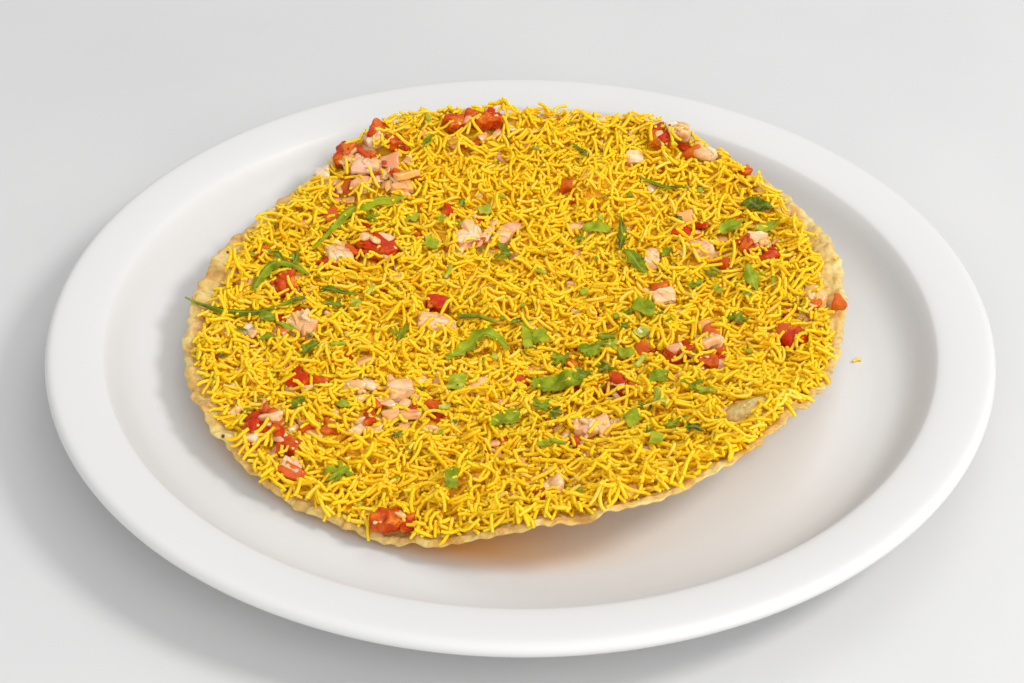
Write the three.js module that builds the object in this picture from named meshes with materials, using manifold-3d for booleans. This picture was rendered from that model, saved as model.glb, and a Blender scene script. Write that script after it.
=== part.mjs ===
// Masala papad on its plate: a thick white plate, a fried papad that has curled into a
// shallow saddle, a heap of sev over it, and chopped tomato, onion and coriander.
// Millimetres, +Z up. The origin is the middle of the plate's foot, on the table.
// The front, which the shown side faces, is -Y.

import * as THREE from 'three';
import { mergeVertices } from 'three/addons/utils/BufferGeometryUtils.js';
import Module from 'manifold-3d';

const wasm = await Module();
wasm.setup();

const gap = 0.3;             // between pieces that touch

// Plate
const plateRadius = 135;
const plateHeight = 22;
const plateFacets = 56;
const floorTop = 6;          // upper face of the well's floor
const floorRadius = 96;      // where the floor starts to bend up
const creaseRadius = 118.6;  // where the flat rim starts
const footInner = 82;
const footOuter = 89;
const footDepth = 1.5;       // hollow inside the foot ring

// Papad: mid-surface rises from the plate's floor to a waving edge
const papadRadius = 96;
const papadCentreY = 5;
const papadThickness = 1.4;
const papadRest = floorTop + gap + papadThickness / 2;
const papadEdgeHeight = 21;  // mean height of the edge above the table
const papadEdgeLowest = 9;
const papadDish = 2.2;       // power of the rise, from the middle to the edge
const papadFacets = 60;
const papadRings = [0.26, 0.48, 0.65, 0.79];
const edgeWaves = [[1, 5.8, 47], [2, 5, -128], [3, 4, -170], [4, 2.5, 90], [7, 1.8, 78]];
const outlineWaves = [[2, 1.5, 114], [3, 1.5, 130], [4, 1.8, 100]];
const blisters = [
  { angle: 322, ring: 0.93, radius: 11, height: 3.2 },
  { angle: 14, ring: 0.97, radius: 9, height: 1.8 },
  { angle: 196, ring: 0.96, radius: 7, height: 1.4 },
  { angle: 168, ring: 0.97, radius: 9, height: 1.2 },
];

// Heap of sev
const heapDepth = 4.4;       // in the middle
const heapBorderDepth = 1.3;
const heapBump = 0.8;
const heapRings = [0.1, 0.24, 0.37, 0.5, 0.62, 0.73, 0.83, 0.93];
const bareRim = 1.2;         // papad left bare outside the heap, all round
const barePatches = [
  { angle: 15, spread: 26, width: 7 },
  { angle: 322, spread: 16, width: 8 },
  { angle: 165, spread: 20, width: 3.5 },
  { angle: 200, spread: 12, width: 3 },
  { angle: 262, spread: 40, width: 1.6 },
];
const strandThickness = 1.15;
const strandCount = 120;
const strandShortest = 6;
const strandLongest = 15;
const strandBent = 10;       // from this length on, a thread shows its bend

// Chopped tomato: x, y, width, depth, height, turn in degrees
const tomatoPieces = [
  [-43.5, 41, 12.5, 8.5, 6, -20], [-24.5, 15.5, 7, 5.5, 5, -5], [-69, 17.5, 6.5, 6, 4.5, 30],
  [-10.5, 91.5, 9.5, 4.5, 6.5, 12], [-20.5, 90, 6.5, 4.5, 5.5, 30], [-55, 76.5, 7, 5, 5, 40],
  [-38.5, 81.5, 6.5, 4, 4, 0], [44, 82, 6, 4.5, 4.5, -20], [69, 37, 7, 6.5, 5, 15],
  [44.5, -10.5, 7.5, 7, 5.5, 35], [53, -16.5, 6, 5, 4.5, -10], [27, -27, 7.5, 5, 5, -30],
  [-70.5, -45, 8.5, 6.5, 4.5, 55], [-62, -50.5, 6.5, 5, 4, -35], [-35, -79.5, 8.5, 6, 4.5, 10],
  [78.5, -6.5, 7.5, 5.5, 5, 25],
];

// Chopped onion: x, y, width, depth, height, turn in degrees
const onionPieces = [
  [-54.5, 35, 8.5, 7, 5, 15], [-24.5, 6.5, 11, 5.5, 5, -8], [-46, 82.5, 6, 5, 4.5, 20],
  [-47, 73.5, 6.5, 5, 4.5, -30], [-37, 66.5, 7.5, 5.5, 4, 10], [-63, 1, 9, 6, 4.5, -12],
  [-16, 45.5, 8, 5, 4, 8], [-5.5, 47.5, 5, 7, 4, -25], [50, 84, 7, 4.5, 4.5, -25],
  [58, 77, 6.5, 4.5, 4, -40], [39.5, 35.5, 5, 7.5, 4.5, -10], [42, 17.5, 7, 5.5, 4.5, 20],
  [55, 38.5, 6, 5.5, 4, 30], [55.5, -5.5, 5.5, 5, 4.5, 10], [-33.5, -26, 8, 6, 4.5, 25],
  [-61.5, -58.5, 5.5, 4.5, 3.5, -20], [86, 8.5, 7, 5, 4, 60], [18, -47.5, 6.5, 6, 4, 0],
];

// Coriander leaves: x, y, length, width, turn in degrees
const leafPieces = [
  [-54, 11, 9.5, 5, 5], [-34.5, -1, 10.5, 7, 80], [-4.5, 38, 10, 8, 20],
  [23, 48.5, 9, 4.5, -8], [72, 54, 10.5, 5.5, -24], [74.5, 44.5, 8, 5, 35],
  [63, 3, 10, 8, 60], [36, 11.5, 8.5, 7, -30], [11.5, -12, 12.5, 8.5, -15],
  [9.5, -25, 14.5, 8, 4], [6, -36, 11, 6.5, -6], [-4.5, -40, 11.5, 7, 25],
  [24.5, -16, 7.5, 6.5, 45], [38.5, -25, 8, 5.5, 40], [35.5, -42.5, 10, 6, -40],
  [-47.5, -60.5, 14, 9, 40],
];
const leafThickness = 0.5;
const leafPoints = 14;
const leafWave = 0.45;

// Coriander stems and cut strips: widest width, then the x, y that the strip passes through
const stripPieces = [
  { width: 4.2, route: [[-60, 39.5], [-56.5, 49.5], [-53, 56], [-45.5, 58.5], [-37, 59.5]] },
  { width: 3.6, route: [[-77.5, 15.5], [-76, 24], [-71, 27], [-64.5, 25.5]] },
  { width: 2.4, route: [[-94.5, 8.5], [-86, 3.5], [-75.5, 4.5], [-68, 9.5], [-63, 12.5]] },
  { width: 2.6, route: [[30.5, 50], [31, 44], [30, 38.5]] },
  { width: 4.4, route: [[37, 27], [34.5, 32.5], [31.5, 37]] },
  { width: 4.6, route: [[-20, -11.5], [-15.5, -5.5], [-10, -3.5], [-3.5, -6]] },
];
const stripSteps = 7;

// Numbers between 0 and 1 that are the same in every run
function makeRandom(seed) {
  let state = seed;
  return () => {
    state = (state * 1664525 + 1013904223) % 4294967296;
    return state / 4294967296;
  };
}

const turnOf = (degrees) => THREE.MathUtils.degToRad(degrees);
const waveSum = (waves, angle) => waves.reduce(
  (sum, [count, size, phase]) => sum + size * Math.cos(count * angle - turnOf(phase)), 0);

// Angle round the papad's centre and share of the way out to its edge
function polarAt(x, y) {
  const angle = Math.atan2(y - papadCentreY, x);
  return { angle, ring: Math.hypot(x, y - papadCentreY) / outlineRadius(angle) };
}

function placeAt(angle, ring) {
  const reach = outlineRadius(angle) * ring;
  return { x: reach * Math.cos(angle), y: papadCentreY + reach * Math.sin(angle) };
}

function outlineRadius(angle) {
  return papadRadius + waveSum(outlineWaves, angle);
}

// The edge's height, with its dips eased off above the plate's floor
function edgeHeight(angle) {
  const height = papadEdgeHeight + waveSum(edgeWaves, angle);
  return papadEdgeLowest + Math.log1p(Math.exp(height - papadEdgeLowest));
}

function blisterRise(angle, ring) {
  const here = placeAt(angle, ring);
  let rise = 0;
  for (const blister of blisters) {
    const middle = placeAt(turnOf(blister.angle), blister.ring);
    const away = Math.hypot(here.x - middle.x, here.y - middle.y) / blister.radius;
    rise += blister.height * Math.exp(-3 * away * away);
  }
  const rimBubbles = 0.45 * Math.sin(23 * angle) + 0.35 * Math.sin(37 * angle + 1);
  return rise + rimBubbles * Math.max(0, (ring - 0.8) / 0.2);
}

function papadMiddle(angle, ring) {
  const rise = (edgeHeight(angle) - papadRest) * ring ** papadDish;
  return papadRest + rise + blisterRise(angle, ring);
}

const papadTop = (angle, ring) => papadMiddle(angle, ring) + papadThickness / 2;
const papadUnderside = (angle, ring) => papadMiddle(angle, ring) - papadThickness / 2;

// Share of the papad's radius where the heap ends
function heapBorder(angle) {
  let bare = bareRim;
  for (const patch of barePatches) {
    const off = Math.abs(Math.atan2(Math.sin(angle - turnOf(patch.angle)), Math.cos(angle - turnOf(patch.angle))));
    bare += patch.width * Math.exp(-((off / turnOf(patch.spread)) ** 2));
  }
  return 1 - bare / outlineRadius(angle);
}

function heapTop(angle, ring) {
  const { x, y } = placeAt(angle, ring);
  const share = Math.min(ring / heapBorder(angle), 1);
  const depth = heapBorderDepth + (heapDepth - heapBorderDepth) * (1 - share ** 5);
  const lumps = Math.sin(0.41 * x + 1.7 * Math.sin(0.19 * y)) + Math.sin(0.37 * y + 1.3 * Math.sin(0.23 * x));
  return papadTop(angle, ring) + gap + depth + heapBump * 0.5 * lumps * (1 - 0.6 * share ** 5);
}

function heapTopAt(x, y) {
  const { angle, ring } = polarAt(x, y);
  return heapTop(angle, Math.min(ring, heapBorder(angle)));
}

// A closed round sheet between two height rules, each on its own rings
function roundSheet(upperRings, upperHeight, lowerRings, lowerHeight) {
  const points = [];
  const faces = [];
  const addFace = (rings, height, up) => {
    const middle = points.length / 3;
    points.push(0, papadCentreY, height(0, 0));
    rings.forEach((ringAt, row) => {
      for (let k = 0; k < papadFacets; k += 1) {
        const angle = (k / papadFacets) * 2 * Math.PI;
        const ring = ringAt(angle);
        const { x, y } = placeAt(angle, ring);
        points.push(x, y, height(angle, ring));
        const next = (k + 1) % papadFacets;
        const outer = middle + 1 + row * papadFacets;
        const inner = outer - papadFacets;
        const quads = row === 0
          ? [[middle, outer + k, outer + next]]
          : [[inner + k, outer + k, outer + next], [inner + k, outer + next, inner + next]];
        quads.forEach(([a, b, c]) => faces.push(...(up ? [a, b, c] : [a, c, b])));
      }
    });
    return middle + 1 + (rings.length - 1) * papadFacets;
  };
  const upperEdge = addFace(upperRings, upperHeight, true);
  const lowerEdge = addFace(lowerRings, lowerHeight, false);
  for (let k = 0; k < papadFacets; k += 1) {
    const next = (k + 1) % papadFacets;
    faces.push(upperEdge + k, lowerEdge + k, lowerEdge + next);
    faces.push(upperEdge + k, lowerEdge + next, upperEdge + next);
  }
  return indexedGeometry(points, faces);
}

function indexedGeometry(points, faces) {
  const geometry = new THREE.BufferGeometry();
  geometry.setAttribute('position', new THREE.Float32BufferAttribute(points, 3));
  geometry.setIndex(faces);
  geometry.computeVertexNormals();
  return geometry;
}

// Only positions, with shared points merged
function bareGeometry(geometry) {
  const plain = geometry.clone();
  plain.deleteAttribute('normal');
  plain.deleteAttribute('uv');
  return mergeVertices(plain, 1e-3);
}

function toSolid(geometry) {
  const plain = bareGeometry(geometry);
  return new wasm.Manifold(new wasm.Mesh({
    numProp: 3,
    vertProperties: Float32Array.from(plain.attributes.position.array),
    triVerts: Uint32Array.from(plain.index.array),
  }));
}

function toGeometry(solid) {
  const mesh = solid.getMesh();
  return indexedGeometry(Array.from(mesh.vertProperties), Array.from(mesh.triVerts));
}

const placed = (solid, matrix) => solid.transform(matrix.toArray());
const crosses = (a, b) => !a.intersect(b).isEmpty();

// Plate: one turned profile, from the hollow under the foot round the lip to the floor
function makePlate() {
  const profile = [
    [0, footDepth], [footInner - 2, footDepth], [footInner, 0], [footOuter, 0],
    [footOuter + 2.5, 2.8], [104, 4], [113.5, 8.8], [119.5, 15], [129, 16.2], [132.8, 16.8],
    [plateRadius, 19.2], [134, 21.4], [131.6, plateHeight], [creaseRadius + 0.9, 20.2],
    [creaseRadius - 1, 18.6], [113, 12], [108.5, 8.6], [103, 6.8], [floorRadius, floorTop],
    [0, floorTop],
  ].map(([radius, height]) => new THREE.Vector2(radius, height));
  const geometry = new THREE.LatheGeometry(profile, plateFacets);
  geometry.rotateX(Math.PI / 2);
  return geometry;
}

const innerRings = papadRings.map((ring) => () => ring);

function makePapad() {
  const rings = [...innerRings, heapBorder, (angle) => (heapBorder(angle) + 1) / 2, () => 1];
  return roundSheet(rings, papadTop, rings, papadUnderside);
}

function makeHeapCore() {
  const top = [...heapRings.map((share) => (angle) => share * heapBorder(angle)), heapBorder];
  const bottom = [...innerRings, heapBorder];
  return roundSheet(top, heapTop, bottom, (angle, ring) => papadTop(angle, ring) + gap);
}

// A cut dice with eased corners and uneven sides
function makeChunk(width, depth, height, random) {
  const chunk = bareGeometry(new THREE.BoxGeometry(width, depth, height, 2, 2, 2));
  const place = chunk.attributes.position;
  const point = new THREE.Vector3();
  for (let i = 0; i < place.count; i += 1) {
    point.fromBufferAttribute(place, i);
    const reach = Math.abs(point.x) / width + Math.abs(point.y) / depth + Math.abs(point.z) / height;
    point.multiplyScalar(1.04 - 0.22 * Math.max(0, reach - 0.5));
    point.x += (random() - 0.5) * 0.12 * width;
    point.y += (random() - 0.5) * 0.12 * depth;
    point.z += (random() - 0.5) * 0.1 * height;
    place.setXYZ(i, point.x, point.y, point.z);
  }
  return chunk;
}

// The heap's slope, as the direction that points straight out of it
function heapNormal(x, y) {
  const step = 3;
  const slopeX = (heapTopAt(x + step, y) - heapTopAt(x - step, y)) / (2 * step);
  const slopeY = (heapTopAt(x, y + step) - heapTopAt(x, y - step)) / (2 * step);
  return new THREE.Vector3(-slopeX, -slopeY, 1).normalize();
}

// A thin lobed leaf that follows the heap
function makeLeaf(x, y, length, width, turn, random, thickness, swell = 0) {
  const points = [];
  const faces = [];
  const phase = random() * 6;
  const sides = [thickness / 2, -thickness / 2];
  const turned = turnOf(turn);
  const outline = [[0, 0]];
  for (let k = 0; k < leafPoints; k += 1) {
    const angle = (k / leafPoints) * 2 * Math.PI;
    const lobe = 0.97 + 0.1 * Math.cos(3 * angle);
    const notch = k % 2 === 0 ? 1 : 0.8;
    const reach = lobe * notch;
    outline.push([(length / 2 + swell) * reach * Math.cos(angle), (width / 2 + swell) * reach * Math.sin(angle)]);
  }
  for (const side of sides) {
    for (const [along, across] of outline) {
      const px = x + along * Math.cos(turned) - across * Math.sin(turned);
      const py = y + along * Math.sin(turned) + across * Math.cos(turned);
      const wave = leafWave * (Math.sin(1.1 * along + phase) + Math.cos(1.3 * across + phase));
      points.push(px, py, heapTopAt(px, py) + 0.9 + wave + side);
    }
  }
  const lower = leafPoints + 1;
  for (let k = 0; k < leafPoints; k += 1) {
    const here = k + 1;
    const next = ((k + 1) % leafPoints) + 1;
    faces.push(0, here, next, lower, lower + next, lower + here);
    faces.push(here, lower + here, lower + next, here, lower + next, next);
  }
  return indexedGeometry(points, faces);
}

// A cut strip or stem that follows the heap along its route
function makeStrip(route, widest, thickness, swell = 0) {
  const curve = new THREE.CatmullRomCurve3(route.map(([x, y]) => new THREE.Vector3(x, y, 0)));
  const points = [];
  const faces = [];
  for (let k = 0; k <= stripSteps; k += 1) {
    const share = k / stripSteps;
    const { x, y } = curve.getPointAt(share);
    const ahead = curve.getTangentAt(share);
    const half = swell + (widest / 2) * (0.3 + 0.7 * Math.sin(Math.PI * (0.12 + 0.76 * share)));
    for (const [across, side] of [[1, 1], [-1, 1], [-1, -1], [1, -1]]) {
      const px = x - ahead.y * half * across;
      const py = y + ahead.x * half * across;
      const wave = leafWave * (Math.sin(5 * share) + 0.5 * across * Math.sin(7 * share + 1));
      points.push(px, py, heapTopAt(px, py) + 0.9 + wave + (side * thickness) / 2);
    }
    if (k === 0) continue;
    for (let c = 0; c < 4; c += 1) {
      const a = 4 * (k - 1) + c;
      const b = 4 * (k - 1) + ((c + 1) % 4);
      faces.push(a, b, b + 4, a, b + 4, a + 4);
    }
  }
  const last = 4 * stripSteps;
  faces.push(0, 3, 2, 0, 2, 1, last, last + 1, last + 2, last, last + 2, last + 3);
  return indexedGeometry(points, faces);
}

// One thread of sev: three sides, flat below, and bent once where it is long
function makeStrand(x, y, length, turn, bend, lift) {
  const half = length / 2;
  const at = (along, across, raise) => {
    const px = x + along * Math.cos(turn) - across * Math.sin(turn);
    const py = y + along * Math.sin(turn) + across * Math.cos(turn);
    return new THREE.Vector3(px, py, heapTopAt(px, py) + 0.25 + raise);
  };
  const route = new THREE.CatmullRomCurve3([at(-half, 0, 0), at(0, bend, 0.3), at(half, 0, lift)]);
  const side = strandThickness * 0.58;
  const section = new THREE.Shape([
    new THREE.Vector2(side * 0.7, side), new THREE.Vector2(-side, 0), new THREE.Vector2(side * 0.7, -side),
  ]);
  const steps = length < strandBent ? 1 : 2;
  return new THREE.ExtrudeGeometry(section, { steps, extrudePath: route, bevelEnabled: false });
}

const finishes = {
  plate: new THREE.MeshStandardMaterial({ color: '#eceae6', roughness: 0.22, metalness: 0 }),
  papad: new THREE.MeshStandardMaterial({ color: '#e2c07a', roughness: 0.6, metalness: 0 }),
  sev: new THREE.MeshStandardMaterial({ color: '#f7c81e', roughness: 0.55, metalness: 0 }),
  tomato: new THREE.MeshStandardMaterial({ color: '#cf3a1a', roughness: 0.25, metalness: 0 }),
  onion: new THREE.MeshStandardMaterial({ color: '#dca98c', roughness: 0.3, metalness: 0 }),
  coriander: new THREE.MeshStandardMaterial({ color: '#6f9420', roughness: 0.5, metalness: 0 }),
};

const group = new THREE.Group();

function addMesh(name, geometry, finish) {
  const mesh = new THREE.Mesh(geometry, finish);
  mesh.name = name;
  group.add(mesh);
  return mesh;
}

addMesh('plate', makePlate(), finishes.plate);
addMesh('papad', makePapad(), finishes.papad);

const papadSolid = toSolid(makePapad());
const papadClear = papadSolid.translate(0, 0, gap + 0.05).add(papadSolid);
let heap = toSolid(makeHeapCore());
const bareHeap = heap;
const random = makeRandom(7);
const clearances = [];       // each topping, enlarged by the gap

// Each dice is half sunk in the heap, along its slope, and clear of the papad and its neighbours
function addChunk(name, [x, y, width, depth, height, turn], finish) {
  const chunk = makeChunk(width, depth, height, random);
  const solid = toSolid(chunk);
  const grown = solid.scale([1 + (2 * gap) / width, 1 + (2 * gap) / depth, 1 + (2 * gap) / height]);
  const mesh = addMesh(name, chunk, finish);
  const lean = new THREE.Euler((random() - 0.5) * 0.3, (random() - 0.5) * 0.3, turnOf(turn));
  mesh.quaternion.setFromUnitVectors(new THREE.Vector3(0, 0, 1), heapNormal(x, y));
  mesh.quaternion.multiply(new THREE.Quaternion().setFromEuler(lean));
  mesh.position.set(x, y, heapTopAt(x, y) + height * 0.08);
  const blocked = () => {
    mesh.updateMatrix();
    const tried = placed(grown, mesh.matrix);
    return crosses(tried, papadClear) || clearances.some((other) => crosses(placed(solid, mesh.matrix), other));
  };
  while (blocked()) mesh.position.z += 0.25;
  const pocket = placed(grown, mesh.matrix);
  clearances.push(pocket);
  heap = heap.subtract(pocket);
}

tomatoPieces.forEach((piece, k) => addChunk(`tomato_${k + 1}`, piece, finishes.tomato));
onionPieces.forEach((piece, k) => addChunk(`onion_${k + 1}`, piece, finishes.onion));

// Each leaf is raised until it lies on what is under it
function addLeaf(name, make) {
  const solid = toSolid(make(leafThickness));
  const grown = toSolid(make(leafThickness + 2 * gap, gap));
  const mesh = addMesh(name, make(leafThickness), finishes.coriander);
  const blocked = () => {
    const tried = solid.translate(0, 0, mesh.position.z);
    const clear = grown.translate(0, 0, mesh.position.z);
    return crosses(clear, bareHeap) || crosses(clear, papadClear)
      || clearances.some((other) => crosses(tried, other));
  };
  mesh.position.z = -1.2;
  while (blocked()) mesh.position.z += 0.15;
  clearances.push(grown.translate(0, 0, mesh.position.z));
}

const leafSeeds = makeRandom(21);
leafPieces.forEach(([x, y, length, width, turn], k) => {
  const seed = Math.floor(leafSeeds() * 1000);
  addLeaf(`coriander_${k + 1}`, (thickness, swell) => makeLeaf(
    x, y, length, width, turn, makeRandom(seed), thickness, swell));
});
stripPieces.forEach(({ width, route }, k) => {
  addLeaf(`coriander_strip_${k + 1}`, (thickness, swell) => makeStrip(route, width, thickness, swell));
});

// Threads of sev, spread evenly by a turning spiral; one that would cross a topping is turned or left out
const keepOut = clearances.reduce((all, one) => all.add(one), papadClear);
const spiralTurn = Math.PI * (3 - Math.sqrt(5));
for (let k = 0; k < strandCount; k += 1) {
  const angle = k * spiralTurn;
  const ring = Math.sqrt((k + 0.5) / strandCount) * heapBorder(angle) * 0.985;
  const { x, y } = placeAt(angle, ring);
  const length = strandShortest + (strandLongest - strandShortest) * random() ** 1.5;
  for (let attempt = 0; attempt < 6; attempt += 1) {
    const shorter = length * (1 - 0.1 * attempt);
    const strand = toSolid(makeStrand(x, y, shorter, random() * Math.PI, (random() - 0.5) * 4, random() * 1.2));
    if (!crosses(strand, keepOut)) {
      heap = heap.add(strand);
      break;
    }
  }
}

const heapBodies = heap.decompose().sort((a, b) => b.volume() - a.volume());
addMesh('sev_topping', toGeometry(heapBodies[0]), finishes.sev);

export default group;
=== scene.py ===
import math

import bmesh
import bpy
import numpy as np
from mathutils import Matrix, Vector, noise
from mathutils.bvhtree import BVHTree
from mathutils.geometry import delaunay_2d_cdt


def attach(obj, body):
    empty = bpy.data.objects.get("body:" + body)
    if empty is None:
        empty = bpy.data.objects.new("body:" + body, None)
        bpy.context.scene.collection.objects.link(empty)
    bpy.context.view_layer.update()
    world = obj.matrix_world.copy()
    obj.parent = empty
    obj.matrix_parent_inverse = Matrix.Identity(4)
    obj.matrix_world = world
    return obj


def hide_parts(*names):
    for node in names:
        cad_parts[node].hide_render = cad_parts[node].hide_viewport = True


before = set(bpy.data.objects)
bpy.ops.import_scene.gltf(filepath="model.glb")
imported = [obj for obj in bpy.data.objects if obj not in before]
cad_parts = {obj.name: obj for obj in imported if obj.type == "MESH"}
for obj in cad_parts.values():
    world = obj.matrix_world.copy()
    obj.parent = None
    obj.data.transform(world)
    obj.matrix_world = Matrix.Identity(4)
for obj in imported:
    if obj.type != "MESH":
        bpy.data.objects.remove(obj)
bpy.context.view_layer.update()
mm = 0.001


# Materials

def srgb(red, green, blue):        # each from 0 to 255
    linear = [((c / 255 + 0.055) / 1.055) ** 2.4 for c in (red, green, blue)]
    return (*linear, 1.0)


class Finish:        # a material under way, with its colour and its bumps so far
    def __init__(self, name):
        self.material = bpy.data.materials.new(name)
        self.material.use_nodes = True
        self.tree = self.material.node_tree
        self.colour, self.normal = None, None

    def fill(self, node, values):        # each value is linked or set
        for socket, value in values.items():
            if isinstance(value, bpy.types.NodeSocket):
                self.tree.links.new(value, node.inputs[socket])
            else:
                node.inputs[socket].default_value = value

    def add(self, kind, values, **settings):
        node = self.tree.nodes.new("ShaderNode" + kind)
        for key, value in settings.items():
            setattr(node, key, value)
        self.fill(node, values)
        return node.outputs

    def coords(self):
        return self.add("TexCoord", {})["Object"]

    def noise(self, scale, detail=3.0, roughness=0.5, stretch=None):
        coords = self.coords()
        if stretch:
            coords = self.add("Mapping", {"Vector": coords, "Scale": stretch})["Vector"]
        values = {"Vector": coords, "Scale": scale, "Detail": detail, "Roughness": roughness}
        return self.add("TexNoise", values)["Fac"]

    def cells(self, scale, **settings):
        return self.add("TexVoronoi", {"Vector": self.coords(), "Scale": scale}, **settings)

    def attribute(self, name):
        return self.add("Attribute", {}, attribute_name=name, attribute_type="GEOMETRY")["Fac"]

    def math(self, operation, first, second, clamp=False):
        return self.add("Math", {0: first, 1: second}, operation=operation, use_clamp=clamp)[0]

    def range(self, value, low, high, newLow=0.0, newHigh=1.0):
        values = {"Value": value, "From Min": low, "From Max": high, "To Min": newLow, "To Max": newHigh}
        return self.add("MapRange", values)["Result"]

    def ramp(self, factor, *stops):        # each stop is a place and a colour
        node = self.add("ValToRGB", {"Fac": factor})[0].node
        elements = node.color_ramp.elements
        elements.remove(elements[1])
        for k, (place, *colour) in enumerate(stops):
            element = elements.new(place) if k else elements[0]
            element.position, element.color = place, srgb(*colour)
        self.colour = node.outputs["Color"]

    def mix(self, factor, *colour):
        self.colour = self.add("Mix", {0: factor, 6: self.colour, 7: srgb(*colour)}, data_type="RGBA")[2]

    def bump(self, height, strength, distance):
        values = {"Height": height, "Strength": strength, "Distance": distance}
        if self.normal:
            values["Normal"] = self.normal
        self.normal = self.add("Bump", values)["Normal"]

    def finish(self, **values):
        values = {socket.replace("_", " "): value for socket, value in values.items()}
        if self.normal:
            values["Normal"] = self.normal
        values.update({"Base Color": self.colour, "Subsurface Scale": 1.0})        # radii in metres
        self.fill(self.tree.nodes["Principled BSDF"], values)
        return self.material


def makePlateGlaze():
    look = Finish("plateGlaze")
    look.ramp(look.noise(9.0, 1.0), (0.0, 214, 214, 214), (1.0, 217, 216, 215))
    # painted warm shade: the glaze turns orange round and under the papad, standing in for its shadow and its
    # bounced light
    look.mix(look.attribute("oiled"), 230, 170, 84)
    look.bump(look.noise(22.0, 0.0), 0.03, 0.0005)
    sheen = look.range(look.noise(30.0, 1.0), 0.0, 1.0, 0.33, 0.4)
    return look.finish(Roughness=sheen, Specular_IOR_Level=0.28)


def makePapadSkin():
    look = Finish("papadSkin")
    look.ramp(look.noise(110.0, 5.0, 0.65), (0.32, 182, 134, 58), (0.45, 208, 174, 100),
              (0.58, 220, 196, 128), (0.75, 232, 213, 158))
    raised = look.range(look.attribute("blister"), 0.05, 0.6)
    look.mix(look.math("MULTIPLY", raised, look.range(look.noise(190.0), 0.45, 0.65, 0.0, 0.6)), 202, 138, 62)
    look.mix(look.attribute("under"), 226, 188, 134)
    cells = look.cells(150.0)
    spot = look.range(cells["Distance"], 0.06, 0.11, 1.0, 0.0)
    chosen = look.math("GREATER_THAN", cells["Color"], 0.72)
    look.mix(look.math("MULTIPLY", spot, chosen), 84, 56, 28)
    bubbles = look.cells(620.0, feature="SMOOTH_F1")["Distance"]
    look.bump(look.math("SUBTRACT", 1.0, bubbles), 0.9, 0.0008)
    look.bump(look.noise(1500.0, 4.0, 0.6), 0.4, 0.0003)
    return look.finish(Roughness=0.5, Specular_IOR_Level=0.35, Subsurface_Weight=0.4,
                       Subsurface_Radius=(0.004, 0.0021, 0.0007))


def makeSevCrisp():
    look = Finish("sevCrisp")
    mottle = look.math("MULTIPLY", look.noise(420.0), 0.4)
    tone = look.math("ADD", look.math("MULTIPLY", look.attribute("tone"), 0.75), mottle)
    look.ramp(tone, (0.15, 252, 190, 8), (0.45, 254, 202, 14), (0.75, 254, 205, 30), (1.0, 254, 209, 80))
    look.bump(look.noise(2600.0, 3.0, 0.6), 0.3, 0.0002)
    return look.finish(Roughness=0.5, Specular_IOR_Level=0.3, Subsurface_Weight=0.7,
                       Subsurface_Radius=(0.0012, 0.0008, 0.0002))


def makeSevShade():
    look = Finish("sevShade")
    # the core's amber is a little deeper than the threads' yellow and is painted shade for the gaps between
    # the threads
    look.ramp(look.noise(260.0, 4.0), (0.3, 250, 180, 14), (0.5, 254, 198, 22), (0.7, 254, 212, 34))
    look.bump(look.noise(700.0, 4.0, 0.6), 0.9, 0.0012)
    return look.finish(Roughness=0.6)


def makeTomatoFlesh():
    look = Finish("tomatoFlesh")
    look.ramp(look.noise(190.0, 4.0, 0.6), (0.32, 168, 40, 2), (0.5, 194, 72, 5), (0.66, 220, 126, 34))
    look.mix(look.attribute("skin"), 188, 44, 3)
    look.mix(look.range(look.attribute("tone"), 0.55, 1.0, 0.0, 0.5), 222, 122, 40)
    look.bump(look.noise(520.0, 4.0, 0.6), 0.5, 0.0007)
    return look.finish(Roughness=0.2, Specular_IOR_Level=0.16, Subsurface_Weight=0.35,
                       Subsurface_Radius=(0.002, 0.0008, 0.0002), Coat_Weight=0.08, Coat_Roughness=0.08)


def makeOnionFlesh():
    look = Finish("onionFlesh")
    layers = look.noise(280.0, 4.0, 0.55, (0.6, 2.4, 1.4))
    look.ramp(layers, (0.3, 216, 156, 98), (0.47, 232, 184, 128), (0.66, 244, 212, 168))
    tone = look.attribute("tone")
    look.mix(look.range(tone, 0.0, 0.45, 0.85, 0.0), 240, 178, 84)
    look.mix(look.range(tone, 0.88, 1.0, 0.0, 0.8), 250, 230, 200)
    look.mix(look.math("MULTIPLY", look.attribute("skin"), 0.6), 226, 150, 122)
    look.mix(look.range(look.noise(90.0, 2.0), 0.5, 0.7, 0.0, 0.4), 216, 134, 62)        # tomato juice
    look.bump(look.noise(300.0, 2.0), 0.35, 0.0005)
    return look.finish(Roughness=0.2, Specular_IOR_Level=0.5, Subsurface_Weight=0.4,
                       Subsurface_Radius=(0.0016, 0.0012, 0.0009), Coat_Weight=0.3, Coat_Roughness=0.1)


def makeLeafGreen():
    look = Finish("leafGreen")
    mottle = look.range(look.noise(300.0), 0.3, 0.7, -0.24, 0.2)
    tone = look.math("ADD", look.attribute("tone"), mottle, clamp=True)
    look.ramp(tone, (0.0, 50, 62, 3), (0.3, 94, 108, 6), (0.6, 132, 146, 14), (0.85, 160, 168, 38),
              (1.0, 190, 194, 88))
    look.mix(look.math("MULTIPLY", look.attribute("vein"), 0.5), 176, 182, 84)
    look.bump(look.noise(900.0, 4.0, 0.6), 0.5, 0.0004)
    return look.finish(Roughness=0.5, Specular_IOR_Level=0.1, Subsurface_Weight=0.15,
                       Subsurface_Radius=(0.0006, 0.0012, 0.0002))


def makeSeedPale():
    look = Finish("seedPale")
    look.ramp(look.noise(600.0, 2.0), (0.3, 232, 186, 104), (0.7, 246, 220, 160))
    return look.finish(Roughness=0.25, Subsurface_Weight=0.2, Subsurface_Radius=(0.001, 0.0007, 0.0004))


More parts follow.
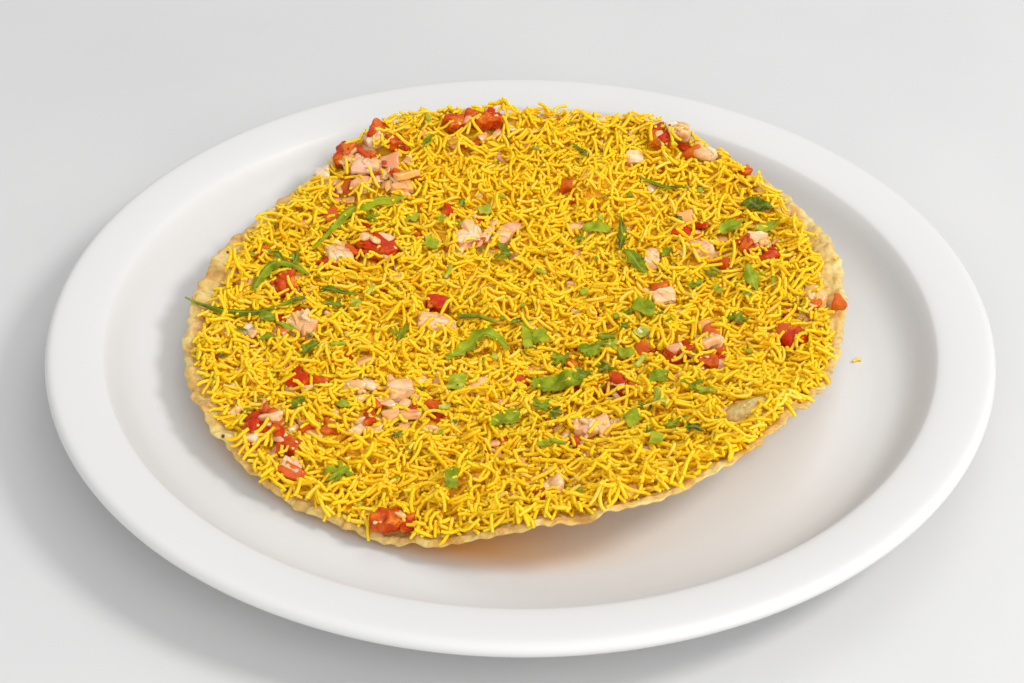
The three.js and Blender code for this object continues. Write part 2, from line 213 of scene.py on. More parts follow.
def makeSpice():
    look = Finish("spice")
    look.ramp(look.noise(500.0, 2.0), (0.35, 84, 52, 24), (0.65, 140, 84, 38))
    return look.finish(Roughness=0.7)


def makeFloorPale():
    look = Finish("floorPale")
    look.ramp(look.noise(8.0), (0.3, 206, 206, 207), (0.7, 212, 212, 212))
    return look.finish(Roughness=0.75, Specular_IOR_Level=0.2)


# Meshes and pieces

def newObject(name, mesh):
    piece = bpy.data.objects.new(name, mesh)
    bpy.context.scene.collection.objects.link(piece)
    return piece


def addValues(mesh, key, values):        # a number for each point
    mesh.attributes.new(key, "FLOAT", "POINT").data.foreach_set("value", np.asarray(values, np.float32))


def makeMesh(name, points, faces, material, **attributes):        # points in millimetres
    mesh = bpy.data.meshes.new(name)
    mesh.from_pydata((np.asarray(points, float) * mm).tolist(), [], faces)
    mesh.polygons.foreach_set("use_smooth", [True] * len(mesh.polygons))
    for key, values in attributes.items():
        addValues(mesh, key, values)
    mesh.materials.append(material)
    mesh.update()
    return newObject(name, mesh)


def settle(piece, slot, *nodes):
    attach(piece, "root")
    if nodes:
        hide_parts(*nodes)
    print("piece", piece.name, "triangles", sum(len(face.vertices) - 2 for face in piece.data.polygons))


def nodesNamed(start):
    names = [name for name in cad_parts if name.startswith(start) and name[len(start):].isdigit()]
    return sorted(names, key=lambda name: int(name[len(start):]))


# A closed body from rings of points that run from the upper middle out, round the edge and back below
def closedNet(name, rings, topPole, bottomPole, material, **attributes):
    ringCount, count = rings.shape[:2]
    points = np.vstack([rings.reshape(-1, 3), [topPole], [bottomPole]])
    index = np.arange(ringCount * count).reshape(ringCount, count)
    after = np.roll(index, -1, axis=1)
    quads = np.stack([index[:-1], index[1:], after[1:], after[:-1]], axis=-1).reshape(-1, 4)
    top, bottom = len(points) - 2, len(points) - 1
    faces = quads.tolist()
    faces += [(top, a, b) for a, b in zip(index[0].tolist(), after[0].tolist())]
    faces += [(bottom, b, a) for a, b in zip(index[-1].tolist(), after[-1].tolist())]
    padded = {key: np.append(values.ravel(), [0.0, 0.0]) for key, values in attributes.items()}
    return makeMesh(name, points, faces, material, **padded)


class Parts:        # gathers many small closed forms into one mesh
    def __init__(self):
        self.points, self.faces, self.count = [], [], 0
        self.values = {}

    def add(self, points, faces, **values):
        self.points.append(np.asarray(points, float))
        self.faces += (np.asarray(faces) + self.count).tolist()
        self.count += len(points)
        for key, value in values.items():
            self.values.setdefault(key, []).append(np.broadcast_to(value, (len(points),)))

    def finish(self, name, material):
        values = {key: np.concatenate(rows) for key, rows in self.values.items()}
        return makeMesh(name, np.vstack(self.points), self.faces, material, **values)


def turnsOf(count):        # equal steps round a circle
    return np.arange(count) / count * 2 * math.pi


# Plate

plateForm = {
    # radius and height along the profile, from the well's floor over the lip to the hollow under the foot
    "profile": ((30, 6), (74, 6), (78, 6), (81, 6), (84, 6), (87, 6), (90, 6), (93, 6), (96, 6), (99, 6.2),
                (103, 6.8), (108.5, 8.6), (113, 12), (117.6, 18.6), (119.5, 20.2),
                (131.6, 22), (134, 21.4), (135, 19.2), (132.8, 16.8), (129, 16.2), (119.5, 15),
                (113.5, 8.8), (104, 4), (91.5, 2.8), (89, 0), (82, 0), (80, 1.5), (30, 1.5)),
    "segments": 240,
    "cornerCuts": 3,
    # painted warm shade of the papad on the plate: how far it reaches past the papad's edge, and the turn,
    # narrowness and strength of its patches
    "paintedShadeReach": 0.5, "paintedShadeFade": 8.0, "paintedShadePatches": ((-106, 10, 0.85), (206, 3, 0.4)),
}


def easedProfile(points, cuts):        # each cut takes a quarter off both sides of every corner
    line = np.array(points, float)
    for _ in range(cuts):
        near = 0.75 * line[:-1] + 0.25 * line[1:]
        far = 0.25 * line[:-1] + 0.75 * line[1:]
        line = np.vstack([line[:1], np.stack([near, far], axis=1).reshape(-1, 2)[1:-1], line[-1:]])
    return line


def makePlate(material):
    profile = easedProfile(plateForm["profile"], plateForm["cornerCuts"])
    angles = turnsOf(plateForm["segments"])
    radius, height = profile[:, 0][:, None], profile[:, 1][:, None]
    rings = np.stack([radius * np.cos(angles), radius * np.sin(angles), height + 0 * angles], axis=-1)
    top, bottom = profile[0, 1], profile[-1, 1]
    turn, ring = polarAt(rings[..., 0], rings[..., 1])
    # painted warm shade: an orange tint on the glaze just past and under the papad's edge, strongest at the
    # front and weaker at the left
    beyond = (ring - 1) * outlineRadius(turn)
    patches = sum(strength * np.clip(np.cos(turn - math.radians(middle)), 0, 1) ** power
                  for middle, power, strength in plateForm["paintedShadePatches"])
    oiled = np.clip((plateForm["paintedShadeReach"] - beyond) / plateForm["paintedShadeFade"], 0, 1) * (rings[..., 2] > 5)
    oiled = np.clip(oiled * patches, 0, 1)
    plate = closedNet("plateGlazed", rings, (0, 0, top), (0, 0, bottom), material, oiled=oiled)
    settle(plate, "plate_glaze", "plate")


# Papad and the heap's form, as in the solids

papadForm = {
    "radius": 96.0, "centreY": 5.0, "thickness": 1.4, "rest": 7.0,
    "edgeHeight": 21.0, "edgeLowest": 9.0, "dish": 2.2,
    "edgeWaves": ((1, 5.8, 47), (2, 5, -128), (3, 4, -170), (4, 2.5, 90), (7, 1.8, 78)),
    "outlineWaves": ((2, 1.5, 114), (3, 1.5, 130), (4, 1.8, 100)),
    "blisters": ((322, 0.93, 11, 3.2), (14, 0.97, 9, 1.8), (196, 0.96, 7, 1.4), (168, 0.97, 9, 1.2)),
    "bubbles": 2600, "bubbleRadius": (0.9, 2.8), "bubbleHeight": (0.2, 0.6),
    # angle, share of the way out, radius and height of the large bare bubbles
    "domes": ((318, 0.855, 6.8, 4.7), (17, 0.965, 3.6, 0.8), (31, 0.97, 3.2, 0.8), (3, 0.97, 3.4, 0.7),
              (184, 0.975, 3.0, 0.7), (214, 0.97, 3.4, 0.8)),
    "raggedWaves": ((31, 0.3, 40), (47, 0.26, 170), (73, 0.22, 300), (109, 0.2, 20), (151, 0.14, 80)),
    "edgeThinning": 0.35,
    "segments": 960, "seed": 11,
}

heapForm = {
    "gap": 0.3, "depth": 4.4, "borderDepth": 1.3, "bump": 0.8, "bareRim": 2.3,
    # angle, spread in degrees and width of the places where more of the papad is bare
    "barePatches": ((15, 24, 5.6), (324, 12, 1), (170, 20, 5.4), (204, 9, 3.4), (137, 14, 2),
                    (92, 34, -1.9), (284, 32, 2.0)),
    # how far the core's top lies below the heap's, and how much further near the border
    "coreDepth": 1.8, "coreSlope": 0.8, "coreRough": 0.4,
    "coreSegments": 300, "coreRings": (62, 16),
}


def waveSum(waves, angle):
    return sum(size * np.cos(count * angle - math.radians(phase)) for count, size, phase in waves)


def outlineRadius(angle):
    return papadForm["radius"] + waveSum(papadForm["outlineWaves"], angle)


def placeAt(angle, ring):
    reach = outlineRadius(angle) * ring
    return reach * np.cos(angle), papadForm["centreY"] + reach * np.sin(angle)


def polarAt(x, y):
    angle = np.arctan2(y - papadForm["centreY"], x)
    return angle, np.hypot(x, y - papadForm["centreY"]) / outlineRadius(angle)


def papadMiddle(angle, ring):
    lowest = papadForm["edgeLowest"]
    edge = papadForm["edgeHeight"] + waveSum(papadForm["edgeWaves"], angle)
    edge = lowest + np.log1p(np.exp(edge - lowest))
    height = papadForm["rest"] + (edge - papadForm["rest"]) * ring ** papadForm["dish"]
    x, y = placeAt(angle, ring)
    for turn, share, radius, rise in papadForm["blisters"]:
        middleX, middleY = placeAt(math.radians(turn), share)
        height = height + rise * np.exp(-3 * ((x - middleX) ** 2 + (y - middleY) ** 2) / radius ** 2)
    bubbles = 0.45 * np.sin(23 * angle) + 0.35 * np.sin(37 * angle + 1)        # along the rim
    return height + bubbles * np.maximum(0, (ring - 0.8) / 0.2)


def heapBorder(angle):
    bare = heapForm["bareRim"]
    for turn, spread, width in heapForm["barePatches"]:
        off = angle - math.radians(turn)
        off = np.abs(np.arctan2(np.sin(off), np.cos(off)))
        bare = bare + width * np.exp(-(off / math.radians(spread)) ** 2)
    return 1 - bare / outlineRadius(angle)


def heapTop(angle, ring):
    x, y = placeAt(angle, ring)
    share = np.minimum(ring / heapBorder(angle), 1)
    depth = heapForm["borderDepth"] + (heapForm["depth"] - heapForm["borderDepth"]) * (1 - share ** 5)
    lumps = np.sin(0.41 * x + 1.7 * np.sin(0.19 * y)) + np.sin(0.37 * y + 1.3 * np.sin(0.23 * x))
    top = papadMiddle(angle, ring) + papadForm["thickness"] / 2
    return top + heapForm["gap"] + depth + heapForm["bump"] * 0.5 * lumps * (1 - 0.6 * share ** 5)


# Height maps over the papad, seen from above: rows follow y and columns follow x

mapForm = {"reach": 110.0, "cell": 0.4}
mapAxis = np.arange(-mapForm["reach"], mapForm["reach"] + mapForm["cell"] / 2, mapForm["cell"])
mapX, mapY = np.meshgrid(mapAxis, mapAxis)
mapAngle, mapRing = polarAt(mapX, mapY)


def cellsOf(x, y):
    column = np.rint((np.asarray(x) + mapForm["reach"]) / mapForm["cell"]).astype(int)
    row = np.rint((np.asarray(y) + mapForm["reach"]) / mapForm["cell"]).astype(int)
    return np.clip(row, 0, len(mapAxis) - 1), np.clip(column, 0, len(mapAxis) - 1)


def placesOf(cells):
    return mapX.flat[cells], mapY.flat[cells]


def readMap(field, x, y):        # between cells
    column = np.clip((x + mapForm["reach"]) / mapForm["cell"], 0, len(mapAxis) - 1.001)
    row = np.clip((y + mapForm["reach"]) / mapForm["cell"], 0, len(mapAxis) - 1.001)
    c, r = column.astype(int), row.astype(int)
    right, up = column - c, row - r
    lower = field[r, c] * (1 - right) + field[r, c + 1] * right
    upper = field[r + 1, c] * (1 - right) + field[r + 1, c + 1] * right
    return lower * (1 - up) + upper * up


def windowAround(x, y, reach):
    row, column = cellsOf(x, y)
    cells = int(math.ceil(reach / mapForm["cell"]))
    rows = slice(max(int(row) - cells, 0), int(row) + cells + 1)
    columns = slice(max(int(column) - cells, 0), int(column) + cells + 1)
    return rows, columns


def blurMap(field, cells):
    for axis in (0, 1, 0, 1):
        shifted = [np.roll(field, step, axis=axis) for step in range(-cells, cells + 1)]
        field = sum(shifted) / len(shifted)
    return field


def spreadMap(field, cells):        # the highest value within some cells
    for axis in (0, 1):
        field = np.max([np.roll(field, step, axis=axis) for step in range(-cells, cells + 1)], axis=0)
    return field


def makeBubbleMap():
    random = np.random.default_rng(papadForm["seed"])
    field = np.zeros_like(mapX)
    for _ in range(papadForm["bubbles"]):
        x, y = placeAt(random.uniform(0, 2 * math.pi), random.uniform() ** 0.36)
        radius = random.uniform(*papadForm["bubbleRadius"])
        height = random.uniform(*papadForm["bubbleHeight"]) * radius / papadForm["bubbleRadius"][1]
        rows, columns = windowAround(x, y, radius)
        away = ((mapX[rows, columns] - x) ** 2 + (mapY[rows, columns] - y) ** 2) / radius ** 2
        dome = 2 * height * np.clip(1 - away, 0, None) ** 1.5
        field[rows, columns] = np.maximum(field[rows, columns], dome)
    for turn, share, radius, height in papadForm["domes"]:
        x, y = placeAt(math.radians(turn), share)
        away = ((mapX - x) ** 2 + (mapY - y) ** 2) / radius ** 2
        field = np.maximum(field, height * np.sqrt(np.clip(1 - away, 0, None)))
    return field


bubbleMap = makeBubbleMap()


def makePapad(material):
    angles = turnsOf(papadForm["segments"])
    half = papadForm["thickness"] / 2
    edge = half / papadForm["radius"]
    flatEdge = 1 - edge
    above = np.concatenate([np.linspace(0.1, 0.8, 8), np.linspace(0.8, flatEdge, 32)[1:]])
    below = np.concatenate([np.linspace(0.1, 0.7, 8), np.linspace(0.7, flatEdge, 18)[1:]])[::-1]
    turns = np.radians([60, 30, 0, -30, -60])
    shares = np.concatenate([above, flatEdge + edge * np.cos(turns), below])
    sides = np.concatenate([np.ones(len(above)), np.sin(turns), -np.ones(len(below))])
    ring, angle = shares[:, None], angles[None, :]
    x, y = placeAt(angle, ring)
    ragged = waveSum(papadForm["raggedWaves"], angle) * ring ** 14
    x = x + ragged * np.cos(angle)
    y = y + ragged * np.sin(angle)
    bubbles = readMap(bubbleMap, x, y)
    height = papadMiddle(angle, ring) + bubbles * np.clip((1 - ring) / 0.01 * 0.5 + 0.5, 0.5, 1)
    uneven = 1 + 0.5 * np.sin(67 * angle + 3 * np.sin(9 * angle))
    roll = 0.4 * np.exp(-((ring - 0.982) / 0.008) ** 2) * uneven
    height = height + roll + (0.16 * np.sin(61 * angle + 2) + 0.12 * np.sin(97 * angle)) * ring ** 16
    z = height + half * sides[:, None] * (1 - papadForm["edgeThinning"] * ring ** 24)
    blister = np.clip(bubbles, 0, 1)
    under = np.clip(-sides[:, None], 0, 1) * np.clip((1 - ring) / 0.05, 0, 1) + 0 * z
    rings = np.stack([x, y, z], axis=-1)
    middle = papadForm["rest"]
    papad = closedNet("papadFried", rings, (0, papadForm["centreY"], middle + half),
                      (0, papadForm["centreY"], middle - half), material, blister=blister, under=under)
    settle(papad, "papad", "papad")


# The pile: what lies highest at each place, and how much a topping there keeps sev away

papadTopMap = papadMiddle(mapAngle, np.minimum(mapRing, 1)) + papadForm["thickness"] / 2 + bubbleMap
heapTopMap = heapTop(mapAngle, np.minimum(mapRing, heapBorder(mapAngle)))
onPapad = mapRing <= 1
onHeap = mapRing <= heapBorder(mapAngle)
nothing = -1000.0
pileTop = np.where(onPapad, papadTopMap, nothing)
onDome = np.zeros(mapX.shape, bool)
for domeTurn, domeShare, domeRadius, _ in papadForm["domes"]:
    domeX, domeY = placeAt(math.radians(domeTurn), domeShare)
    onDome |= np.hypot(mapX - domeX, mapY - domeY) < domeRadius * 0.92
shield = np.where(onDome, 0.85, 0.0)
diceFloor = np.full_like(mapX, 1000.0)


# Chopped tomato and onion, each cut piece on its own solid

diceForm = {
    "tomato": {"cuts": 6, "rounding": 3, "rough": 0.7, "roughScale": 0.5, "dents": 1.7},
    "onion": {"layer": 2.2, "cuts": 3, "rounding": 2, "slip": 0.16, "tilt": 0.05, "bend": 0.04,
              "overlap": 0.3, "rough": 0.16},
    "shield": 0.62,
    "seeds": 2, "seedSize": (1.5, 1.0, 0.6),
}


def copyOfNode(name):        # merged, in millimetres
    form = bmesh.new()
    form.from_mesh(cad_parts[name].data)
    bmesh.ops.scale(form, vec=(1000, 1000, 1000), verts=form.verts)
    bmesh.ops.remove_doubles(form, verts=form.verts, dist=0.01)
    bmesh.ops.recalc_face_normals(form, faces=form.faces)
    return form


def takeForm(form):        # points and faces, as the form is freed
    points = np.array([vert.co for vert in form.verts])
    faces = [[vert.index for vert in face.verts] for face in form.faces]
    form.free()
    return points, faces


def roundedForm(form, cuts, rounding):        # smooth edges; gives points, normals and faces
    axes = {"use_axis_x": True, "use_axis_y": True, "use_axis_z": True}
    bmesh.ops.subdivide_edges(form, edges=form.edges, cuts=cuts, use_grid_fill=True)
    for _ in range(rounding):
        bmesh.ops.smooth_vert(form, verts=form.verts, factor=0.5, **axes)
    bmesh.ops.triangulate(form, faces=[face for face in form.faces if len(face.verts) > 3])
    bmesh.ops.recalc_face_normals(form, faces=form.faces)
    form.normal_update()
    normals = np.array([vert.normal for vert in form.verts])
    points, faces = takeForm(form)
    return points, normals, faces


def roughness(points, scale, seed):
    shift = Vector((seed * 7.3, seed * 3.1, seed * 5.7))
    return np.array([noise.fractal(Vector(point) * scale + shift, 0.6, 2.1, 3) for point in points])


def randomDirection(random, flatness=1.0):
    direction = random.normal(size=3) * (1, 1, flatness)
    return direction / np.linalg.norm(direction)


def layDice(points, faces):
    tree = BVHTree.FromPolygons(points.tolist(), faces)
    low, high = points.min(0), points.max(0)
    rows, columns = windowAround(*((low + high) / 2)[:2], max(high[:2] - low[:2]) / 2 + 0.4)
    for row in range(rows.start, rows.stop):
        for column in range(columns.start, columns.stop):
            x, y = mapAxis[column], mapAxis[row]
            hit = tree.ray_cast(Vector((x, y, high[2] + 1)), Vector((0, 0, -1)))[0]
            if hit is None:
                continue
            under = tree.ray_cast(Vector((x, y, low[2] - 1)), Vector((0, 0, 1)))[0]
            pileTop[row, column] = max(pileTop[row, column], hit.z)
            shield[row, column] = diceForm["shield"]
            diceFloor[row, column] = under.z


def makeTomatoDice(material, seedMaterial):
    look = diceForm["tomato"]
    random = np.random.default_rng(31)
    parts, seeds = Parts(), Parts()
    names = nodesNamed("tomato_")
    for k, name in enumerate(names):
        points, normals, faces = roundedForm(copyOfNode(name), look["cuts"], look["rounding"])
        grain = roughness(points, look["roughScale"], k)
        outer = randomDirection(random)
        skin = np.clip((normals @ outer - 0.45) / 0.2, 0, 1)
        dents = np.clip(roughness(points, 0.3, k + 40) - 0.05, 0, 1) * (1 - skin)
        raised = look["rough"] * grain * (1 - 0.7 * skin) - look["dents"] * dents
        shifted = points + normals * raised[:, None]
        parts.add(shifted, faces, skin=skin, tone=random.uniform())
        layDice(shifted, faces)
        pulp = np.flatnonzero((normals[:, 2] > 0.3) & (skin < 0.1) & (dents > 0.02))
        for _ in range(min(diceForm["seeds"], len(pulp) // 20)):
            spot = random.choice(pulp)
            addSeed(seeds, shifted[spot], normals[spot], random)
    settle(parts.finish("tomatoDice", material), "tomato", *names)
    settle(seeds.finish("tomatoSeeds", seedMaterial), "tomato")


def slabsOf(name, across, random):        # the piece cut into its layers, each a closed form
    whole = copyOfNode(name)
    reach = np.array([vert.co for vert in whole.verts]) @ across
    count = max(2, round(np.ptp(reach) / diceForm["onion"]["layer"]))
    levels = np.linspace(reach.min(), reach.max(), count + 1)
    levels[1:-1] += random.uniform(-0.25, 0.25, size=count - 1)
    for low, high in zip(levels[:-1], levels[1:]):
        slab = whole.copy()
        for level, side in ((low, "clear_inner"), (high, "clear_outer")):
            geometry = [*slab.verts, *slab.edges, *slab.faces]
            plane = {"plane_co": across * level, "plane_no": across, side: True}
            bmesh.ops.bisect_plane(slab, geom=geometry, **plane)
            bmesh.ops.holes_fill(slab, edges=[edge for edge in slab.edges if edge.is_boundary])
        bmesh.ops.triangulate(slab, faces=slab.faces)
        yield slab
    whole.free()


def makeOnionDice(material):
    look = diceForm["onion"]
    random = np.random.default_rng(32)
    parts = Parts()
    names = nodesNamed("onion_")
    for name in names:
        across = randomDirection(random, 0.8)
        bend = random.choice((-1, 1)) * look["bend"]
        base = random.uniform(0.1, 0.85)
        coloured = random.uniform() < 0.3
        for k, slab in enumerate(slabsOf(name, across, random)):
            points, normals, faces = roundedForm(slab, look["cuts"], look["rounding"])
            middle = points.mean(0)
            turn = Matrix.Rotation(random.normal(0, look["tilt"]), 3, Vector(randomDirection(random)))
            form = (points - middle) @ np.array(turn).T
            aside = np.sum(form ** 2, axis=1) - (form @ across) ** 2
            further = look["overlap"] * (form @ across) + bend * (aside - aside.mean())
            form = form + across * further[:, None]
            form = form + normals * (look["rough"] * roughness(points, 0.5, k + 80))[:, None]
            slip = np.cross(across, randomDirection(random)) * random.normal(0, look["slip"])
            shifted = form + middle + slip
            tone = min(max(base + random.normal(0, 0.15), 0), 1)
            parts.add(shifted, faces, tone=tone, skin=float(coloured and k == 0))
            layDice(shifted, faces)
    settle(parts.finish("onionDice", material), "onion", *names)


def softCube(cuts):        # a cube with its edges and corners drawn in
    form = bmesh.new()
    bmesh.ops.create_cube(form, size=2)
    bmesh.ops.subdivide_edges(form, edges=form.edges, cuts=cuts, use_grid_fill=True)
    points, faces = takeForm(form)
    points = np.sign(points) * np.abs(points) ** 0.65
    outer = np.sum(np.abs(points) > 0.99, axis=1)
    return points * np.array([1, 1, 0.92, 0.82])[outer][:, None], faces


smallCube, largeCube = softCube(2), softCube(4)


def turnMatrix(normal, turn):
    up = Vector(normal).normalized()
    tilt = Vector((0, 0, 1)).rotation_difference(up).to_matrix()
    return np.array(tilt @ Matrix.Rotation(turn, 3, "Z"))


seedBall = bmesh.new()
bmesh.ops.create_icosphere(seedBall, subdivisions=2, radius=1)
seedBall = takeForm(seedBall)


def addSeed(parts, place, normal, random):
    points, faces = seedBall
    form = points * np.array(diceForm["seedSize"]) / 2
    form[:, 1] *= 1 - 0.5 * points[:, 0]        # one end pointed
    parts.add(form @ turnMatrix(normal, random.uniform(0, 6)).T + place, faces)


# The heap's own core, under the threads

def makeHeapCore(material):
    random = np.random.default_rng(3)
    rough = blurMap(random.normal(size=mapX.shape), 2) * 3.2
    outer = np.clip((mapRing / heapBorder(mapAngle) - 0.75) / 0.2, 0, 1)        # deeper near the border
    core = np.maximum(papadTopMap + 0.4, heapTopMap - heapForm["coreDepth"] - heapForm["coreSlope"] * outer)
    core = core + heapForm["coreRough"] * np.clip(rough, -1, 1)
    core = np.maximum(np.minimum(core, diceFloor - 0.2), papadTopMap + 0.08)
    core = np.where(onDome, papadTopMap - 0.2, core)
    angles = turnsOf(heapForm["coreSegments"])
    border = heapBorder(angles)[None, :]
    topRings, underRings = heapForm["coreRings"]
    up = np.linspace(0.03, 0.985, topRings)[:, None] * border
    down = np.linspace(0.97, 0.05, underRings)[:, None] * border
    x, y = placeAt(angles[None, :], up)
    top = np.stack([x, y, readMap(core, x, y)], axis=-1)
    x, y = placeAt(angles[None, :], down)
    under = papadMiddle(angles[None, :], down) + papadForm["thickness"] / 2 + 0.02
    bottom = np.stack([x, y, under], axis=-1)
    poles = [(0, papadForm["centreY"], float(readMap(core, np.array(0.0), np.array(papadForm["centreY"])))),
             (0, papadForm["centreY"], papadForm["rest"] + papadForm["thickness"] / 2 + 0.02)]
    body = closedNet("sevCore", np.vstack([top, bottom]), *poles, material)
    settle(body, "sev", "sev_topping")
    inside = mapRing <= heapBorder(mapAngle) * 0.985
    pileTop[inside] = np.maximum(pileTop, core)[inside]


# Sev threads, laid one by one on what is already there

threadForm = {
    "radius": 0.54, "radiusSpread": 0.045, "sink": 0.16, "flex": 0.45, "steepest": 0.6, "endGirth": 0.85,
    "kinds": {        # share of all, length, number of steps, bend per millimetre
        "sevBits": {"share": 0.26, "length": (1.8, 3.0), "steps": 2, "bend": 0.16},
        "sevShort": {"share": 0.38, "length": (3.0, 5.0), "steps": 3, "bend": 0.21},
        "sevMedium": {"share": 0.265, "length": (5.0, 7.4), "steps": 4, "bend": 0.17},
        "sevLong": {"share": 0.08, "length": (7.4, 11.0), "steps": 6, "bend": 0.14},
        "sevCurled": {"share": 0.015, "length": (6.0, 11.0), "steps": 11, "bend": 0.42},
    },
    "overhang": 0.9, "highest": 35.2,
    "tries": 6, "shorten": 0.82,        # a thread that finds no room is made shorter
    "stampStep": 0.35, "stampGirth": 1.15,
    "sides": 5, "seed": 2024,
    # the most threads tried, the level to stop at, and the share that stick up
    "passes": {"under": {"most": 9000, "stopAt": -1.1, "raised": 0.06},
               "middle": {"most": 9000, "stopAt": -0.2, "raised": 0.1},
               "gaps": {"most": 2900, "raised": 0, "lowest": 14,
                        "kinds": ("sevBits", "sevShort", "sevMedium")},
               "rim": {"most": 560, "raised": 0.1, "lowest": 5},
               "last": {"most": 700, "weight": 1.08, "raised": 0.2, "lowest": 2}},
    "rimShares": (0.95, 1.012, 0.995),        # of the heap's border, and at most of the papad's edge
    # a crumb of a thread on the bare plate: its points from above, height, radius and tone
    "stray": {"x": (96.6, 98, 99.2), "y": (-1.8, -0.9, -1.2), "height": 6.7, "radius": 0.45, "tone": 0.9},
}
threads = {name: [] for name in threadForm["kinds"]}


def threadPlan(length, bend, random, samples):
    along = np.linspace(-0.5, 0.5, samples) * length
    wobble = random.normal(0, 0.18) * np.sin(random.uniform(1.5, 3.5) * 2 * math.pi * along / length
                                             + random.uniform(0, 6))
    heading = bend * along + wobble
    step = length / (samples - 1)
    x = np.concatenate([[0], np.cumsum(np.cos((heading[1:] + heading[:-1]) / 2))]) * step
    y = np.concatenate([[0], np.cumsum(np.sin((heading[1:] + heading[:-1]) / 2))]) * step
    return along, x - x.mean(), y - y.mean()


def restingLine(t, ground):        # the straight line that lies on the ground at both sides of t = 0
    left, right = t < 0, t >= 0
    tl, gl, tr, gr = t[left], ground[left], t[right], ground[right]
    atMiddle = (gl[:, None] * tr[None, :] - gr[None, :] * tl[:, None]) / (tr[None, :] - tl[:, None])
    i, j = np.unravel_index(np.argmax(atMiddle), atMiddle.shape)
    slope = (gr[j] - gl[i]) / (tr[j] - tl[i])
    steepest = threadForm["steepest"]
    slope = min(max(slope, -steepest), steepest)
    return np.max(ground - slope * t), slope


stampReach = 2
stampSteps = np.arange(-stampReach, stampReach + 1)
stampRows, stampColumns = [grid.ravel() for grid in np.meshgrid(stampSteps, stampSteps, indexing="ij")]


def stampCells(x, y):        # the rows and columns round each point
    last = len(mapAxis) - 1
    row, column = cellsOf(x, y)
    return np.clip(row[:, None] + stampRows, 0, last), np.clip(column[:, None] + stampColumns, 0, last)


def stampPath(x, y, z, radius):
    count = max(2, int(np.sum(np.hypot(np.diff(x), np.diff(y))) / threadForm["stampStep"]))
    share = np.linspace(0, 1, len(x))
    fine = np.linspace(0, 1, count)
    x, y, z = (np.interp(fine, share, values) for values in (x, y, z))
    rows, columns = stampCells(x, y)
    away = (mapAxis[columns] - x[:, None]) ** 2 + (mapAxis[rows] - y[:, None]) ** 2
    covered = away < (radius * threadForm["stampGirth"]) ** 2
    top = np.where(covered, z[:, None] + np.sqrt(np.maximum(radius ** 2 - away, 0)), nothing)
    np.maximum.at(pileTop, (rows.ravel(), columns.ravel()), top.ravel())


def layThread(kindName, spot, random, weight, raised):
    kind = threadForm["kinds"][kindName]
    samples = 2 * kind["steps"] + 1
    length = random.uniform(*kind["length"])
    curled = kindName == "sevCurled"
    if curled:
        bend = kind["bend"] * random.uniform(0.6, 1.4) * random.choice((-1, 1))
    else:
        bend = random.normal(0, kind["bend"])
    radius = random.normal(threadForm["radius"], threadForm["radiusSpread"])
    shyness = random.uniform() / max(weight, 0.01)
    for _ in range(threadForm["tries"]):
        along, planX, planY = threadPlan(length, bend, random, samples)
        turn = random.uniform(0, 2 * math.pi)
        x = spot[0] + planX * math.cos(turn) - planY * math.sin(turn)
        y = spot[1] + planX * math.sin(turn) + planY * math.cos(turn)
        angle, ring = polarAt(x, y)
        outside = ring > 1
        rows, columns = cellsOf(x, y)
        ground = pileTop[rows, columns]
        tooFar = np.max((ring - 1) * outlineRadius(angle)) > threadForm["overhang"]
        blocked = shield[rows, columns].max() > shyness
        if tooFar or blocked or np.sum(~outside) < 0.6 * samples:
            length *= threadForm["shorten"]
            continue
        arch = random.normal(0, 0.03) * length * (1 - (2 * along / length) ** 2)
        ground = ground + radius - arch
        if curled:
            rise = 1.05 * np.abs(bend) / (2 * math.pi) * (along + length / 2)
            z = ground[~outside].max() + rise + random.uniform(-0.2, 0.1)
        else:
            t = np.where(np.abs(planX) < 1e-6, 1e-6, planX)
            height, slope = restingLine(t, ground)
            z = height + slope * t
            sag = np.clip(z - ground, 0, 2.5)
            sag = np.convolve(np.pad(sag, 2, mode="edge"), [0.1, 0.2, 0.4, 0.2, 0.1], mode="valid")
            z = z - threadForm["flex"] * sag + arch
            if random.uniform() < raised:
                lift = random.uniform(0.12, 0.55) * random.choice((-1, 1))
                z = z + lift * t - np.min(lift * t)
        z = z - threadForm["sink"]
        if z.max() + radius > threadForm["highest"]:
            length *= threadForm["shorten"]
            continue
        tone = min(max(random.normal(0.5, 0.24), 0), 1)
        stampPath(x, y, z, radius)
        threads[kindName].append((x[::2], y[::2], z[::2], radius, tone))
        return True
    return False


def laySev(random, most, stopAt=9.0, weight=1.0, raised=0.1, lowest=4, cells=None, kinds=None):
    cells = np.flatnonzero(onHeap) if cells is None else cells
    target = heapTopMap.ravel()
    names = list(kinds or threadForm["kinds"])
    shares = np.array([threadForm["kinds"][name]["share"] for name in names])
    counted = np.flatnonzero(onHeap & (shield < 0.5))
    laid = 0
    for k in range(most):
        tried = random.choice(cells, size=lowest)
        below = pileTop.ravel()[tried] - target[tried]
        cell = tried[np.argmin(below)]
        spot = [place + random.uniform(-0.2, 0.2) for place in placesOf(cell)]
        name = names[random.choice(len(names), p=shares / shares.sum())]
        laid += layThread(name, spot, random, weight, raised)
        if k % 100 == 99 and np.mean(pileTop.ravel()[counted] - target[counted]) > stopAt:
            break
    level = pileTop.ravel()[counted] - target[counted]
    print("sev threads laid", laid, "level", np.round(np.quantile(level, (0.05, 0.25, 0.5, 0.9)), 2))


def rimCells():        # the cells along the heap's border
    inner, outer, edge = threadForm["rimShares"]
    border = heapBorder(mapAngle)
    return np.flatnonzero((mapRing > border * inner) & (mapRing < np.minimum(border * outer, edge)))


def addStray(x, y, height, radius, tone):
    threads["sevBits"].append((np.array(x), np.array(y), np.full(len(x), height), radius, tone))


# Geometry Nodes: what a tree makes ends as real geometry with one material

